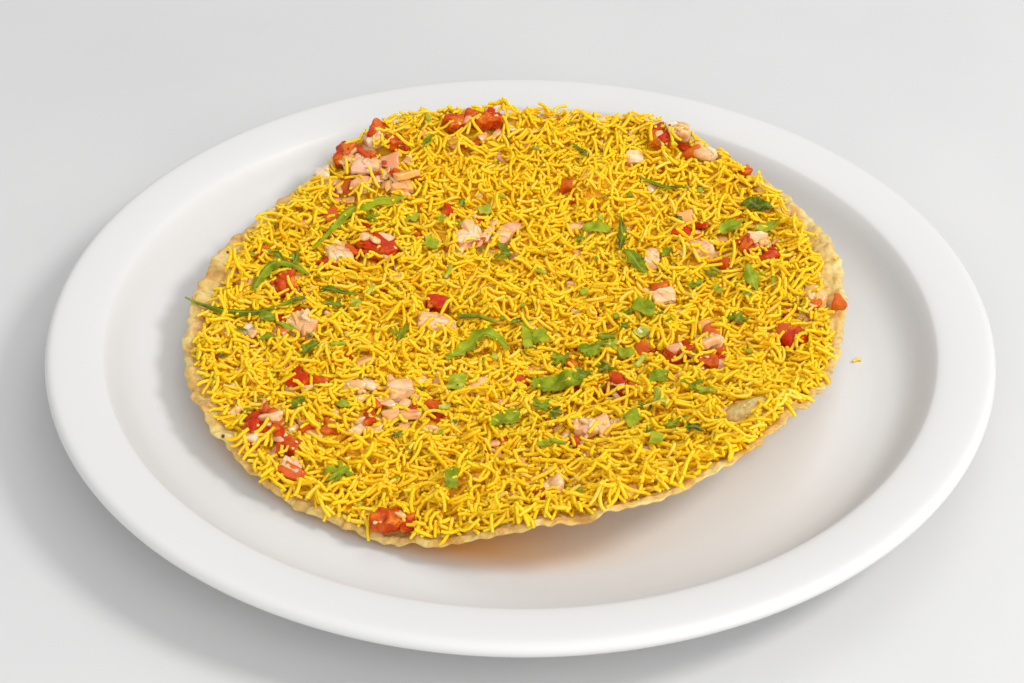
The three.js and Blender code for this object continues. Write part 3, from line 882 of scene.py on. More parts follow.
def makeTree(name, inputs, kinds, values, links, settings=()):
    tree = bpy.data.node_groups.new(name, "GeometryNodeTree")
    for socket, kind in (("Geometry", "Geometry"), *inputs, ("Finish", "Material")):
        tree.interface.new_socket(socket, in_out="INPUT", socket_type="NodeSocket" + kind)
    tree.interface.new_socket("Geometry", in_out="OUTPUT", socket_type="NodeSocketGeometry")
    kinds = {"entry": "NodeGroupInput", "leave": "NodeGroupOutput", **kinds,
             "real": "GeometryNodeRealizeInstances", "finish": "GeometryNodeSetMaterial"}
    nodes = {key: tree.nodes.new(kind) for key, kind in kinds.items()}
    for key, setting, value in settings:
        setattr(nodes[key], setting, value)
    for key, socket, value in values:
        nodes[key].inputs[socket].default_value = value
    ends = [("real", "Geometry", "finish", "Geometry"), ("entry", "Finish", "finish", "Material"),
            ("finish", "Geometry", "leave", "Geometry")]
    for start, output, end, socket in links + ends:
        tree.links.new(nodes[start].outputs[output], nodes[end].inputs[socket])
    return tree


def makeThreadTree():        # a round thread along every path
    return makeTree(
        "threadsAlongPaths", [("Sides", "Int")],
        {"curves": "GeometryNodeMeshToCurve", "girth": "GeometryNodeInputNamedAttribute",
         "section": "GeometryNodeCurvePrimitiveCircle", "sweep": "GeometryNodeCurveToMesh",
         "smooth": "GeometryNodeSetShadeSmooth"},
        [("girth", "Name", "girth"), ("section", "Radius", mm), ("sweep", "Fill Caps", True)],
        [("entry", "Geometry", "curves", "Mesh"), ("entry", "Sides", "section", "Resolution"),
         ("curves", "Curve", "sweep", "Curve"), ("section", "Curve", "sweep", "Profile Curve"),
         ("girth", "Attribute", "sweep", "Scale"), ("sweep", "Mesh", "smooth", "Geometry"),
         ("smooth", "Geometry", "real", "Geometry")])


def bakeTree(name, source, tree, inputs):        # the tree's result as a plain mesh
    modifier = source.modifiers.new("tree", "NODES")
    modifier.node_group = tree
    for item in tree.interface.items_tree:
        if item.item_type == "SOCKET" and item.in_out == "INPUT" and item.name in inputs:
            modifier[item.identifier] = inputs[item.name]
    graph = bpy.context.evaluated_depsgraph_get()
    mesh = bpy.data.meshes.new_from_object(source.evaluated_get(graph), depsgraph=graph)
    mesh.name = name
    source.modifiers.remove(modifier)
    bpy.data.objects.remove(source)
    mesh.set_sharp_from_angle(angle=math.radians(75))
    return newObject(name, mesh)


def sweepPaths(name, paths, sides, material):        # a path is x, y, z, radius and tone
    points, edges, girths, tones = [], [], [], []
    for x, y, z, radius, tone in paths:
        start = len(points)
        points += zip(x * mm, y * mm, z * mm)
        edges += [(start + k, start + k + 1) for k in range(len(x) - 1)]
        girth = np.broadcast_to(radius, (len(x),)).copy()
        girth[[0, -1]] *= threadForm["endGirth"]
        girths += girth.tolist()
        tones += np.broadcast_to(tone, (len(x),)).tolist()
    mesh = bpy.data.meshes.new(name + "Paths")
    mesh.from_pydata([tuple(map(float, point)) for point in points], edges, [])
    addValues(mesh, "girth", girths)
    addValues(mesh, "tone", tones)
    return bakeTree(name, newObject(name + "Paths", mesh), threadTree, {"Sides": sides, "Finish": material})


# Small bits of onion and tomato among the threads

bitForm = {
    # least and most size, how many are strewn and how uneven they are, and the larger bits that lie singly:
    # their x, y, width and depth to the nearest millimetre
    "onion": {
        "size": ((3.0, 1.6, 0.8), (6.4, 3.4, 1.5)), "strewn": 130, "lean": 0.1, "bow": (-0.05, 0.13),
        "bumps": 0.7, "bumpHeight": 0.5, "skins": 0.2, "thick": 2.2,
        "singles": (
            (9, -74, 6, 5), (28, -83, 5, 4), (26, 93, 5, 4), (-12, -21, 6, 4), (-4, 51, 4, 9),
            (-15, 48, 4, 7), (-62, 73, 5, 7), (-49, 80, 5, 6), (-41, 76, 6, 5), (-49, 71, 6, 6),
            (-48, 65, 4, 7), (-66, 52, 3, 3), (-47, -25, 4, 6), (-36, -34, 5, 6), (-30, -35, 6, 5),
            (-24, -40, 5, 4), (-44, -42, 3, 9), (-45, -12, 8, 5), (-81, -27, 4, 4), (-79, -38, 4, 5),
            (-67, -44, 6, 5), (-73, -48, 6, 6), (-70, -36, 4, 5), (54, 38, 5, 6), (85, 15, 4, 5),
            (79, -4, 5, 7), (71, 38, 6, 4), (51, 53, 4, 6), (36, 79, 5, 6), (22, -47, 5, 7), (54, 4, 5, 4),
            (54, -7, 5, 5), (-37, 69, 7, 6), (22, 72, 4, 5))},
    "tomato": {
        "size": ((2.2, 1.8, 1.1), (4.8, 3.4, 2.2)), "strewn": 34, "lean": 0.2, "bow": None,
        "bumps": 1.1, "bumpHeight": 0.8, "skins": 0.5, "thick": 3.2,
        "singles": (
            (-62, -25, 5, 4), (-24, -31, 4, 4), (0, -20, 4, 4), (-57, 89, 5, 5), (-45, 89, 4, 4),
            (-39, 81, 6, 4), (-54, 80, 5, 8), (-15, 93, 5, 6), (-21, 57, 4, 7), (-58, 55, 5, 4),
            (-58, 32, 5, 4), (-52, -42, 4, 5), (-61, -60, 4, 7), (-73, -42, 5, 4), (15, 69, 4, 6),
            (50, 47, 4, 6), (66, 52, 3, 4), (74, 31, 6, 4), (60, 32, 3, 6), (54, 78, 3, 4), (70, 72, 3, 4),
            (92, 8, 4, 3), (55, -2, 4, 6), (75, -3, 4, 5), (41, 22, 5, 4), (35, -7, 5, 6), (15, -12, 4, 4))},
    # x, y, spread, onion bits, tomato bits, and how much they keep the upper threads away
    "clusters": (
        (-53, 74, 8, 26, 14, 0.6), (-40, 69, 7, 12, 3, 0.55), (-14, 93, 8, 4, 8, 0.48),
        (50, 84, 7, 12, 4, 0.48), (-48, 40, 7, 8, 5, 0.48), (-13, 48, 8, 12, 3, 0.48),
        (-67, -48, 8, 14, 12, 0.6), (-36, -33, 7, 10, 2, 0.45), (50, -11, 7, 6, 6, 0.48),
        (69, 37, 6, 5, 6, 0.42), (52, 48, 5, 4, 4, 0.42), (84, 6, 8, 11, 5, 0.48), (19, -48, 6, 10, 2, 0.45),
        (-35, -80, 6, 5, 5, 0.42), (10, -73, 5, 5, 1, 0.35), (-62, -22, 5, 4, 5, 0.42),
        (-66, 2, 8, 8, 3, 0.42), (24, -26, 5, 3, 5, 0.35), (-70, 20, 7, 6, 5, 0.42),
        (-45, -25, 6, 7, 1, 0.42), (-44, -42, 5, 5, 3, 0.42)),
    "strewnShield": 0.25, "singleShield": 0.62,
}


def addBit(parts, look, x, y, size, random, cube, cover):
    points, faces = cube
    form = points * np.array(size) / 2
    form[:, 1] *= 1 - random.uniform(0, 0.5) * points[:, 0]        # narrower at one end
    form[:, 0] += random.normal(0, 0.2) * form[:, 1]
    form[:, 2] += random.normal(0, look["lean"]) * form[:, 0]
    if look["bow"]:
        form[:, 2] -= random.uniform(*look["bow"]) * form[:, 0] ** 2
    shift = Vector(random.uniform(-90, 90, size=3))
    bumps = np.array([noise.noise(Vector(point) * 0.45 + shift) for point in form])
    form = form + points * (bumps * look["bumps"])[:, None] * (1, 1, look["bumpHeight"])
    rows, columns = windowAround(x, y, size[0] / 2)
    under = pileTop[rows, columns]
    under = under[under > 0]
    if len(under) == 0:        # past the papad's edge
        return
    east, west, north, south = (float(readMap(heapTopMap, np.array(x + dx), np.array(y + dy)))
                                for dx, dy in ((2, 0), (-2, 0), (0, 2), (0, -2)))
    upward = np.array([west - east, south - north, 4]) + np.append(random.normal(0, 1.4, size=2), 0)
    turned = form @ turnMatrix(upward, random.uniform(0, 6.3)).T
    level = np.quantile(under, 0.45) + size[2] * 0.22
    level = min(level, threadForm["highest"] - turned[:, 2].max())
    skin = np.clip((points[:, 2] - 0.6) * 4, 0, 1) * (random.uniform() < look["skins"])
    parts.add(turned + (x, y, level), faces, tone=random.uniform(), skin=skin)
    reach = (mapX[rows, columns] - x) ** 2 + (mapY[rows, columns] - y) ** 2
    covered = reach < (size[1] / 2 + 0.5) ** 2
    for field, value in ((pileTop, level + size[2] * 0.5), (shield, cover)):
        field[rows, columns] = np.maximum(field[rows, columns], np.where(covered, value, nothing))


def layBits(materials):
    random = np.random.default_rng(77)
    parts = {kind: Parts() for kind in materials}
    openCells = np.flatnonzero(onHeap & (mapRing <= heapBorder(mapAngle) * 0.96))

    def addRandom(kind, x, y, cover):
        look = bitForm[kind]
        addBit(parts[kind], look, x, y, random.uniform(*look["size"]), random, smallCube, cover)

    for kind in materials:
        for cell in random.choice(openCells, size=bitForm[kind]["strewn"]):
            addRandom(kind, *placesOf(cell), bitForm["strewnShield"])
    for x, y, spread, onions, tomatoes, cover in bitForm["clusters"]:
        for kind, count in zip(materials, (onions, tomatoes)):
            for _ in range(count):
                place = random.normal((x, y), spread / 1.7)
                angle, ring = polarAt(*place)
                if ring < heapBorder(angle) * 0.985:
                    addRandom(kind, *place, cover)
    for kind in materials:
        look = bitForm[kind]
        for x, y, *sides in look["singles"]:
            size = (max(sides), min(sides), look["thick"])
            addBit(parts[kind], look, x, y, size, random, largeCube, bitForm["singleShield"])
    for kind, material in materials.items():
        settle(parts[kind].finish(kind + "Bits", material), kind)


# Coriander leaves and stems, draped over the heap

leafForm = {
    "spacing": 0.55, "thickness": 0.26, "above": 0.35, "growth": 1.06, "smallGrowth": 1.15, "ribs": 1.9,
    # how each leaf node's leaf is cut, and its tone from dark to pale
    "cuts": ("lobed", "folded", "lobed", "cut", "blade", "cut", "lobed", "cut", "lobed", "cut", "lobed",
             "cut", "lobed", "blade", "lobed", "lobed"),
    "tones": (0.3, 0.5, 0.35, 0.75, 0.18, 0.8, 0.3, 0.6, 0.4, 0.55, 0.5, 0.6, 0.35, 0.5, 0.25, 0.55),
    # x, y, length, width, turn, cut and tone of the smaller leaves that lie between them
    "small": (
        (2, 0, 10, 3.4, -88, "cut", 0.85), (0, 6, 6, 2.2, 17, "blade", 0.2), (6, -1, 6, 5, 5, "cut", 0.7),
        (20, -8, 7, 5, 27, "cut", 0.5), (26, -7, 9, 5, 57, "lobed", 0.75), (30, -10, 5, 4, 17, "cut", 0.6),
        (19, -20, 9, 3, -90, "lobed", 0.45), (30, 3, 5, 5, -3, "lobed", 0.2), (25, 0, 5, 3, -7, "cut", 0.5),
        (31, 10, 4, 4, 14, "lobed", 0.4), (35, 0, 5, 4, -48, "cut", 1.0), (47, -32, 8, 7, -48, "lobed", 0.5),
        (9, -40, 6, 6, -12, "lobed", 0.2), (17, -23, 4, 5, -37, "cut", 0.4),
        (38, -41, 12, 3.2, -79, "blade", 0.85), (30, -47, 5, 6, 21, "cut", 0.7),
        (34, -55, 5, 6, -5, "lobed", 0.35), (40, -53, 6, 5, 35, "lobed", 0.5),
        (36, -60, 4, 4, -4, "cut", 0.8), (45, -59, 8, 5, -8, "lobed", 0.1), (51, -36, 6, 3, -60, "cut", 0.7),
        (7, -58, 5, 3, 3, "blade", 0.6), (-56, 16, 6, 3, 23, "blade", 0.15), (-48, 12, 3, 4, 7, "cut", 0.95),
        (-73, 2, 4, 4, 23, "cut", 0.45), (-67, -1, 7, 2, -26, "blade", 0.6),
        (-27, 42, 5, 4, -14, "cut", 0.75), (-46, 53, 6, 6, 20, "lobed", 0.4),
        (-68, 32, 6, 3, -82, "lobed", 0.45), (-24, 50, 4, 3, 60, "cut", 0.7),
        (-18, 50, 5, 4, -50, "lobed", 0.55), (-11, 57, 4, 4, 0, "cut", 0.9), (-18, 59, 4, 2, 80, "cut", 0.1),
        (-33, 53, 4, 3, 70, "cut", 0.75), (18, 45, 5, 5, -12, "lobed", 0.4),
        (44, 37, 5, 2.4, 59, "blade", 0.45), (56, 25, 6, 5, 27, "lobed", 0.4),
        (52, 21, 4, 3, -17, "cut", 0.5), (64, 46, 9, 5, 30, "blade", 0.65),
        (68, 20, 11, 4, -79, "blade", 0.7), (48, 51, 3, 3, -3, "cut", 0.2),
        (24, -4, 8, 2.4, 23, "blade", 0.5), (-61, -36, 7, 3.4, 85, "cut", 0.3),
        (-49, -34, 3, 3, 30, "cut", 0.6), (-34, -45, 5, 2.6, -20, "lobed", 0.2),
        (-60, -9, 6, 4, 40, "cut", 0.3), (-72, -6, 5, 2.2, 15, "blade", 0.5),
        (-18, -21, 9, 4.4, 80, "cut", 0.85), (-18, -71, 4, 4, 10, "cut", 0.5),
        (-29, 82, 6, 2, 70, "blade", 0.5), (20, -10, 6, 4, 40, "lobed", 0.6)),
    "flecks": 90, "fleckSize": (1.0, 2.6),
    "shield": 0.86,
}

stripForm = {
    # widest width, tone, and the x, y and share of the width along the route
    "coriander_strip_1": (4.4, 0.62, ((-62, 36, 0.22), (-60, 39.5, 0.26), (-58.2, 45, 0.4), (-54.5, 53, 0.8),
                                      (-46.5, 58, 1.0), (-40, 59.5, 0.8), (-35.5, 59.8, 0.12))),
    "coriander_strip_2": (3.6, 0.5, ((-78, 14, 0.3), (-76.8, 20, 0.9), (-73.5, 25.5, 1.0), (-68, 26.8, 0.7),
                                     (-62.5, 24.6, 0.2))),
    "coriander_strip_3": (2.6, 0.32, ((-97.5, 10.2, 0.15), (-90, 5.6, 0.6), (-82.5, 3.6, 1.0),
                                      (-74.5, 4.4, 0.8), (-70, 6.8, 0.22), (-66, 10.3, 0.7),
                                      (-62, 12.8, 0.4))),
    "coriander_strip_4": (2.6, 0.25, ((30.5, 51, 0.2), (31.1, 45, 1.0), (30, 38, 0.3))),
    "coriander_strip_5": (4.4, 0.5, ((37.2, 26.5, 0.35), (34.5, 32.5, 1.0), (31, 37.5, 0.2))),
    "coriander_strip_6": (4.6, 0.7, ((-21, -12, 0.3), (-15.5, -5.8, 0.9), (-10, -3.5, 1.0), (-3, -6.2, 0.3))),
}
moreStrips = (
    (2.2, 0.35, ((-75.5, 32.5, 0.2), (-72.8, 30.5, 0.9), (-70, 26.8, 0.4))),
    (2.4, 0.3, ((-66.5, 33, 0.2), (-67, 29.5, 1.0), (-67.8, 26.5, 0.5))),
    (1.6, 0.4, ((37, 68.6, 0.4), (42, 66.6, 1.0), (47.5, 63.6, 0.9), (52, 62.8, 0.3))),
    (1.5, 0.3, ((16.5, 84, 0.4), (19.5, 81.5, 1.0), (20.5, 77.5, 0.5))),
    (1.4, 0.35, ((-28.5, 82.5, 0.5), (-29.5, 80, 1.0), (-30.5, 77.8, 0.4))),
    (2.0, 0.2, ((-58, 15.5, 0.3), (-53.5, 14.6, 1.0), (-47.5, 16.2, 0.4))),
)
stalkForm = {        # x, y, length, turn, radius and tone of cut stems
    "pieces": (
        (33.9, -16.2, 5.6, 60, 0.75, 1.0), (-21, -34, 3.2, 10, 0.8, 0.9), (-15, 8.3, 6.5, -6, 0.75, 0.35),
        (-9.5, 7, 5.5, -20, 0.6, 0.5), (18.8, 20.5, 2.4, 30, 1.05, 0.85), (-6, 60, 3.0, 40, 0.6, 0.9),
        (-21.5, 30, 4.5, 65, 0.6, 0.9), (58, 27, 4.2, -40, 0.6, 0.7), (-52, -8, 5, 35, 0.55, 0.8),
        (6, 30, 3.8, -10, 0.6, 0.85), (-44, 17, 4, 60, 0.6, 0.9), (10, -58, 4, 5, 0.55, 0.6)),
    "sides": 10,
}


def leafOutline(kind, size, random):        # points round a leaf of some length and width, along x
    count = int(np.clip(size[0] * 6, 18, 84))
    angles = np.linspace(0, 2 * math.pi, count, endpoint=False)
    teeth = np.abs(np.mod(angles * count / 4 / (2 * math.pi) + random.uniform(), 1) - 0.5) * 2
    cosine, sine = np.abs(np.cos(angles)), np.abs(np.sin(angles))
    if kind in ("lobed", "folded"):
        reach = np.full_like(angles, 0.34)
        for middle, long, spread in ((0, 1.05, 0.38), (0.95, 1.0, 0.32), (-0.95, 1.0, 0.32),
                                     (1.85, 0.95, 0.28), (-1.85, 0.95, 0.28)):
            off = np.angle(np.exp(1j * (angles - middle - random.normal(0, 0.12))))
            reach = np.maximum(reach, long * random.uniform(0.75, 1.05) * np.exp(-np.abs(off / spread) ** 3))
        reach = reach * (1 - 0.26 * teeth)
    elif kind == "blade":
        reach = 1 / (cosine ** 1.15 + sine ** 1.15) ** (1 / 1.15) * (1 - 0.1 * teeth)
    else:
        power = random.uniform(2.6, 6)
        reach = 1 / (cosine ** power + sine ** power) ** (1 / power)
        reach = reach * (0.9 + 0.14 * np.cos(2 * angles + random.uniform(0, 6))) * (1 - 0.16 * teeth)
        reach = reach * (1 - 0.3 * np.clip(np.cos(angles - random.uniform(0, 6)) - 0.75, 0, 1))
    return np.stack([0.5 * size[0] * reach * np.cos(angles), 0.5 * size[1] * reach * np.sin(angles)], axis=-1)


def insideOutline(outline, x, y):
    inside = np.zeros(x.shape, bool)
    for (x1, y1), (x2, y2) in zip(outline, np.roll(outline, -1, axis=0)):
        crosses = (y1 > y) != (y2 > y)
        rise = y2 - y1 if abs(y2 - y1) > 1e-9 else 1e-9
        inside ^= crosses & (x < (x2 - x1) * (y - y1) / rise + x1)
    return inside


def thinSheet(parts, points, triangles, loop, **values):
    shift = np.array([0, 0, leafForm["thickness"] / 2])
    count = len(points)
    below = [(a + count, c + count, b + count) for a, b, c in triangles]
    wall = []
    for a, b in zip(loop, loop[1:] + loop[:1]):
        wall += [(a, a + count, b + count), (a, b + count, b)]
    doubled = {key: np.concatenate([np.broadcast_to(value, (count,))] * 2) for key, value in values.items()}
    doubled["tone"] = doubled["tone"] + np.repeat([0.0, 0.12], count)        # paler below
    parts.add(np.vstack([points + shift, points - shift]), list(triangles) + below + wall, **doubled)


def addLeaf(parts, x, y, length, width, turn, kind, tone, random, drape, cover, spacing=leafForm["spacing"]):
    outline = leafOutline(kind, (length, width), random)
    gridX, gridY = np.meshgrid(*(np.arange(-size / 2, size / 2, spacing) for size in (length, width)))
    gridX = gridX + 0.5 * spacing * (np.arange(gridX.shape[0]) % 2)[:, None]
    keep = insideOutline(outline * 0.9, gridX.ravel(), gridY.ravel())
    flat = np.vstack([outline, np.stack([gridX.ravel()[keep], gridY.ravel()[keep]], axis=-1)])
    edges = [(k, (k + 1) % len(outline)) for k in range(len(outline))]
    result = delaunay_2d_cdt([Vector(point) for point in flat], edges, [], 1, 1e-5)
    flat = np.array([tuple(point) for point in result[0]])
    triangles = [tuple(face) for face in result[2]]
    along, across = flat[:, 0], flat[:, 1]
    crease = np.abs(across)
    fold = 0.75 if kind == "folded" else random.uniform(-0.3, 0.4)
    lift = fold * crease + random.uniform(-0.02, 0.035) * along ** 2
    ripple = np.sin(1.3 * along + random.uniform(0, 6)) * np.sin(1.1 * across + random.uniform(0, 6))
    lift = lift + 0.3 * ripple
    ribs = leafForm["ribs"]
    ribs = np.abs(np.mod(along / ribs - 0.75 * crease / ribs, 1) - 0.5) * ribs
    vein = np.clip(np.exp(-(crease / 0.22) ** 2) + 0.6 * np.exp(-((0.95 - ribs) / 0.16) ** 2), 0, 1)
    turned = math.radians(turn)
    px = x + along * math.cos(turned) - across * math.sin(turned)
    py = y + along * math.sin(turned) + across * math.cos(turned)
    ground = readMap(drape, px, py)
    z = 0.75 * ground + 0.25 * ground.mean() + leafForm["above"] + lift - lift.mean() * 0.5 - 0.1 * vein
    points = np.stack([px, py, z], axis=-1)
    thinSheet(parts, points, triangles, list(range(len(outline))), tone=tone, vein=vein)
    stampSheet(px, py, z, cover)


def stampSheet(x, y, z, cover):
    close = (np.abs(stampRows) <= 1) & (np.abs(stampColumns) <= 1)
    rows, columns = (cells[:, close] for cells in stampCells(x, y))
    heights = np.broadcast_to(z[:, None] + leafForm["thickness"] / 2, rows.shape)
    np.maximum.at(pileTop, (rows, columns), heights)
    np.maximum.at(shield, (rows, columns), cover)


def smoothRoute(route, count):        # a Catmull-Rom line through the route's points
    line = np.array(route, float)
    line = np.vstack([2 * line[0] - line[1], line, 2 * line[-1] - line[-2]])
    spans = len(line) - 3
    out = []
    for share in np.linspace(0, spans, count):
        k = min(int(share), spans - 1)
        t = share - k
        a, b, c, d = line[k:k + 4]
        out.append(0.5 * (2 * b + (c - a) * t + (2 * a - 5 * b + 4 * c - d) * t ** 2
                          + (3 * b - a - 3 * c + d) * t ** 3))
    return np.array(out)


def addStrip(parts, width, tone, route, random, drape, cover):
    steps, across = 26, np.linspace(-1, 1, 9)
    line = smoothRoute(route, steps)
    ahead = np.gradient(line[:, :2], axis=0)
    ahead /= np.linalg.norm(ahead, axis=1)[:, None]
    share = np.linspace(0, 1, steps)
    half = width / 2 * np.clip(line[:, 2], 0.08, None)
    teeth = np.sin(share[:, None] * 34 + random.uniform(0, 6) + 2 * (across > 0))
    reach = half[:, None] * across * (1 + (0.05 * width + 0.02 * width * (width > 4.5)) * teeth)
    px = line[:, 0][:, None] - ahead[:, 1][:, None] * reach
    py = line[:, 1][:, None] + ahead[:, 0][:, None] * reach
    ground = readMap(drape, line[:, 0], line[:, 1])
    ground = np.convolve(np.pad(ground, 3, mode="edge"), np.ones(7) / 7, mode="valid")
    fold = random.uniform(0.2, 0.55) * random.choice((1, 1, -1))
    z = ground[:, None] + 0.5 + fold * np.abs(across) * half[:, None]
    z = z + 0.5 * np.sin(share * 7 + fold * 9)[:, None]
    vein = np.clip(np.exp(-(across / 0.16) ** 2)[None, :] + np.clip(0.6 - half[:, None], 0, 1), 0, 1)
    points = np.stack([px, py, z], axis=-1).reshape(-1, 3)
    index = np.arange(len(points)).reshape(steps, len(across))
    quads = np.stack([index[:-1, :-1], index[1:, :-1], index[1:, 1:], index[:-1, 1:]], axis=-1).reshape(-1, 4)
    triangles = [triangle for a, b, c, d in quads.tolist() for triangle in ((a, b, c), (a, c, d))]
    loop = [int(k) for k in (*index[0, ::-1], *index[1:, 0], *index[-1, 1:], *index[-2:0:-1, -1])]
    tones = np.repeat(tone + 0.35 * np.clip(0.7 - half, 0, 1), len(across))
    thinSheet(parts, points, triangles, loop, tone=tones, vein=vein.ravel())
    stampSheet(points[:, 0], points[:, 1], points[:, 2], cover)


def planOf(name):        # middle, length, width and turn of a leaf's node, seen from above
    points = takeForm(copyOfNode(name))[0][:, :2]
    middle = (points.min(0) + points.max(0)) / 2
    short, long = np.linalg.eigh(np.cov((points - points.mean(0)).T))[1].T
    turn = math.degrees(math.atan2(long[1], long[0]))
    return middle, np.ptp(points @ long), np.ptp(points @ short), turn


def layCoriander(material):
    random = np.random.default_rng(52)
    leaves, stems, flecks = Parts(), Parts(), Parts()
    beyond = papadTopMap - 0.5
    drape = blurMap(spreadMap(np.maximum(pileTop, beyond), 1), 2)
    names = nodesNamed("coriander_")
    for name, kind, tone in zip(names, leafForm["cuts"], leafForm["tones"]):
        middle, length, width, turn = planOf(name)
        length, width = length * leafForm["growth"], width * leafForm["growth"]
        addLeaf(leaves, *middle, length, width, turn, kind, tone, random, drape, leafForm["shield"])
    for x, y, length, width, turn, kind, tone in leafForm["small"]:
        length, width = length * leafForm["smallGrowth"], width * leafForm["smallGrowth"]
        addLeaf(leaves, x, y, length, width, turn, kind, tone, random, drape, leafForm["shield"])
    drape = blurMap(spreadMap(np.maximum(pileTop, drape - 0.3), 1), 2)
    for width, tone, route in [*stripForm.values(), *moreStrips]:
        addStrip(stems, width, tone, route, random, drape, leafForm["shield"])
    openCells = np.flatnonzero(onHeap & (shield < 0.5) & (mapRing < 0.95))
    for cell in random.choice(openCells, size=leafForm["flecks"]):
        size = random.uniform(*leafForm["fleckSize"])
        width, turn, tone = size * random.uniform(0.5, 0.9), random.uniform(0, 360), random.uniform(0.15, 0.8)
        addLeaf(flecks, *placesOf(cell), size, width, turn, "cut", tone, random, drape - 0.3, 0.2, 0.9)
    for parts, name, nodes in ((leaves, "corianderLeaves", names), (stems, "corianderStrips", stripForm),
                               (flecks, "corianderFlecks", ())):
        piece = parts.finish(name, material)
        piece.data.set_sharp_from_angle(angle=math.radians(50))
        settle(piece, "coriander", *nodes)
    stalks = []
    for x, y, length, turn, radius, tone in stalkForm["pieces"]:
        along = np.linspace(-0.5, 0.5, 7) * length
        angle = math.radians(turn)
        px, py = x + along * math.cos(angle), y + along * math.sin(angle)
        ground = readMap(drape, px, py)
        slope = np.polyfit(along, ground, 1)
        z = np.polyval(slope, along) + radius * 0.6
        stalks.append((px, py, z, radius, tone))
        stampPath(px, py, z, radius)
    piece = sweepPaths("corianderStalks", stalks, stalkForm["sides"], material)
    addValues(piece.data, "vein", np.full(len(piece.data.vertices), 0.4))
    settle(piece, "coriander")


# Crumbs and spice, scattered by Geometry Nodes

crumbForm = {
    "sev": {"count": 420, "size": (0.35, 0.8), "seed": 4, "flat": 0.8},
    "spice": {"count": 70, "size": (0.25, 0.55), "seed": 9, "flat": 0.6},
}


def makeCrumbTree():
    return makeTree(
        "crumbsOnPoints",
        [("Least size", "Float"), ("Largest size", "Float"), ("Flatness", "Float"), ("Seed", "Int")],
        {"crumb": "GeometryNodeMeshIcoSphere", "flatten": "GeometryNodeTransform",
         "squash": "ShaderNodeCombineXYZ", "turn": "FunctionNodeRandomValue",
         "size": "FunctionNodeRandomValue", "place": "GeometryNodeInstanceOnPoints"},
        [("crumb", "Radius", mm), ("squash", 0, 1), ("squash", 1, 0.8), ("turn", 1, (6.3, 6.3, 6.3))],
        [("entry", "Flatness", "squash", 2), ("crumb", "Mesh", "flatten", "Geometry"),
         ("squash", 0, "flatten", "Scale"), ("entry", "Least size", "size", 2),
         ("entry", "Largest size", "size", 3), ("entry", "Seed", "size", "Seed"),
         ("entry", "Seed", "turn", "Seed"), ("entry", "Geometry", "place", "Points"),
         ("flatten", "Geometry", "place", "Instance"), ("turn", 0, "place", "Rotation"),
         ("size", 1, "place", "Scale"), ("place", "Instances", "real", "Geometry")],
        settings=[("turn", "data_type", "FLOAT_VECTOR")])


def strewCrumbs(name, look, slot, material):
    random = np.random.default_rng(look["seed"])
    openCells = np.flatnonzero(mapRing <= 0.985)
    cells = random.choice(openCells, size=look["count"])
    points = np.stack([*placesOf(cells), pileTop.flat[cells] + 0.1], axis=-1) * mm
    mesh = bpy.data.meshes.new(name + "Points")
    mesh.from_pydata(points.tolist(), [], [])
    inputs = {"Least size": look["size"][0], "Largest size": look["size"][1], "Flatness": look["flat"],
              "Seed": look["seed"], "Finish": material}
    piece = bakeTree(name, newObject(name + "Points", mesh), makeCrumbTree(), inputs)
    addValues(piece.data, "tone", random.uniform(0.2, 0.9, size=len(piece.data.vertices)))
    settle(piece, slot)


# Light, floor and camera

lightForm = {
    # name, place, size, watts and colour
    "lamps": (("keyLamp", (0.84, -0.2, 0.98), 0.34, 7.6, (1.0, 0.985, 0.96)),
              ("backLamp", (0.3, 0.55, 1.1), 0.7, 1.8, (1.0, 1.0, 1.0)),
              ("frontLamp", (0.22, -1.08, 0.7), 1.4, 9.2, (1.0, 0.995, 0.98))),
    "aim": (0.0, 0.0, 0.015),
    "world": (0.97, 0.97, 0.97, 1.0), "worldStrength": 0.63,
}
photoCamera = {"lens": 77.34, "distance": 0.6198, "elevation": 36.941, "roll": 0.29,
               "lookAt": (-0.002356, -0.013502, 0.022)}


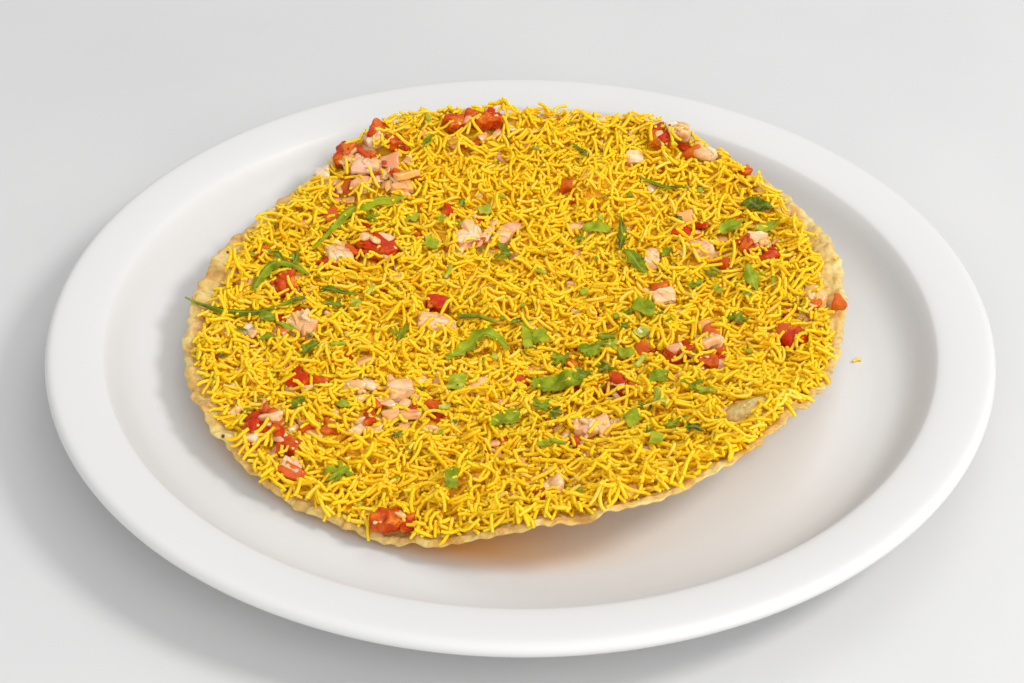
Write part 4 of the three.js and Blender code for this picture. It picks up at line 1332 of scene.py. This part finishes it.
def makeStudio():
    for name, place, size, watts, colour in lightForm["lamps"]:
        lamp = bpy.data.lights.new(name, "AREA")
        lamp.shape, lamp.size, lamp.energy, lamp.color = "DISK", size, watts, colour
        holder = bpy.data.objects.new(name, lamp)
        bpy.context.scene.collection.objects.link(holder)
        aim = Vector(lightForm["aim"]) - Vector(place)
        holder.location = place
        holder.rotation_euler = aim.to_track_quat("-Z", "Y").to_euler()
    world = bpy.data.worlds.new("studio")
    world.use_nodes = True
    sky = world.node_tree.nodes["Background"]
    sky.inputs["Color"].default_value = lightForm["world"]
    sky.inputs["Strength"].default_value = lightForm["worldStrength"]
    bpy.context.scene.world = world
    reach = 1600.0
    corners = [(-reach, -reach, -0.1), (reach, -reach, -0.1), (reach, reach, -0.1), (-reach, reach, -0.1)]
    makeMesh("floor", corners, [(0, 1, 2, 3)], makeFloorPale())


def makeCamera():
    lens = bpy.data.cameras.new("photoCamera")
    lens.lens, lens.sensor_width = photoCamera["lens"], 36
    camera = bpy.data.objects.new("photoCamera", lens)
    bpy.context.scene.collection.objects.link(camera)
    elevation, roll = math.radians(photoCamera["elevation"]), math.radians(photoCamera["roll"])
    back = Vector((0, -math.cos(elevation), math.sin(elevation)))
    right, up = Vector((1, 0, 0)), Vector((0, math.sin(elevation), math.cos(elevation)))
    turnedRight = math.cos(roll) * right + math.sin(roll) * up
    turnedUp = math.cos(roll) * up - math.sin(roll) * right
    place = Vector(photoCamera["lookAt"]) + back * photoCamera["distance"]
    axes = Matrix((turnedRight, turnedUp, back)).transposed()
    camera.matrix_world = Matrix.Translation(place) @ axes.to_4x4()
    bpy.context.scene.camera = camera
    bpy.context.scene.view_settings.view_transform = "Standard"


makeCamera()
makeStudio()
print("camera and studio made")

tomatoFlesh = makeTomatoFlesh()
onionFlesh = makeOnionFlesh()
sevCrisp = makeSevCrisp()
threadTree = makeThreadTree()

makePlate(makePlateGlaze())
makePapad(makePapadSkin())
print("plate and papad made")

makeTomatoDice(tomatoFlesh, makeSeedPale())
makeOnionDice(onionFlesh)
makeHeapCore(makeSevShade())
print("dice and core made")

sevRandom = np.random.default_rng(threadForm["seed"])
passes = threadForm["passes"]
laySev(sevRandom, **passes["under"])
layBits({"onion": onionFlesh, "tomato": tomatoFlesh})
laySev(sevRandom, **passes["middle"])
laySev(sevRandom, **passes["gaps"])
laySev(sevRandom, **passes["rim"], cells=rimCells())
layCoriander(makeLeafGreen())
laySev(sevRandom, **passes["last"])
addStray(**threadForm["stray"])
print("heap laid")

for kindName, paths in threads.items():
    settle(sweepPaths(kindName, paths, threadForm["sides"], sevCrisp), "sev", "sev_topping")
strewCrumbs("sevCrumbs", crumbForm["sev"], "sev", sevCrisp)
strewCrumbs("spiceSpecks", crumbForm["spice"], "papad", makeSpice())
print("threads and crumbs made")
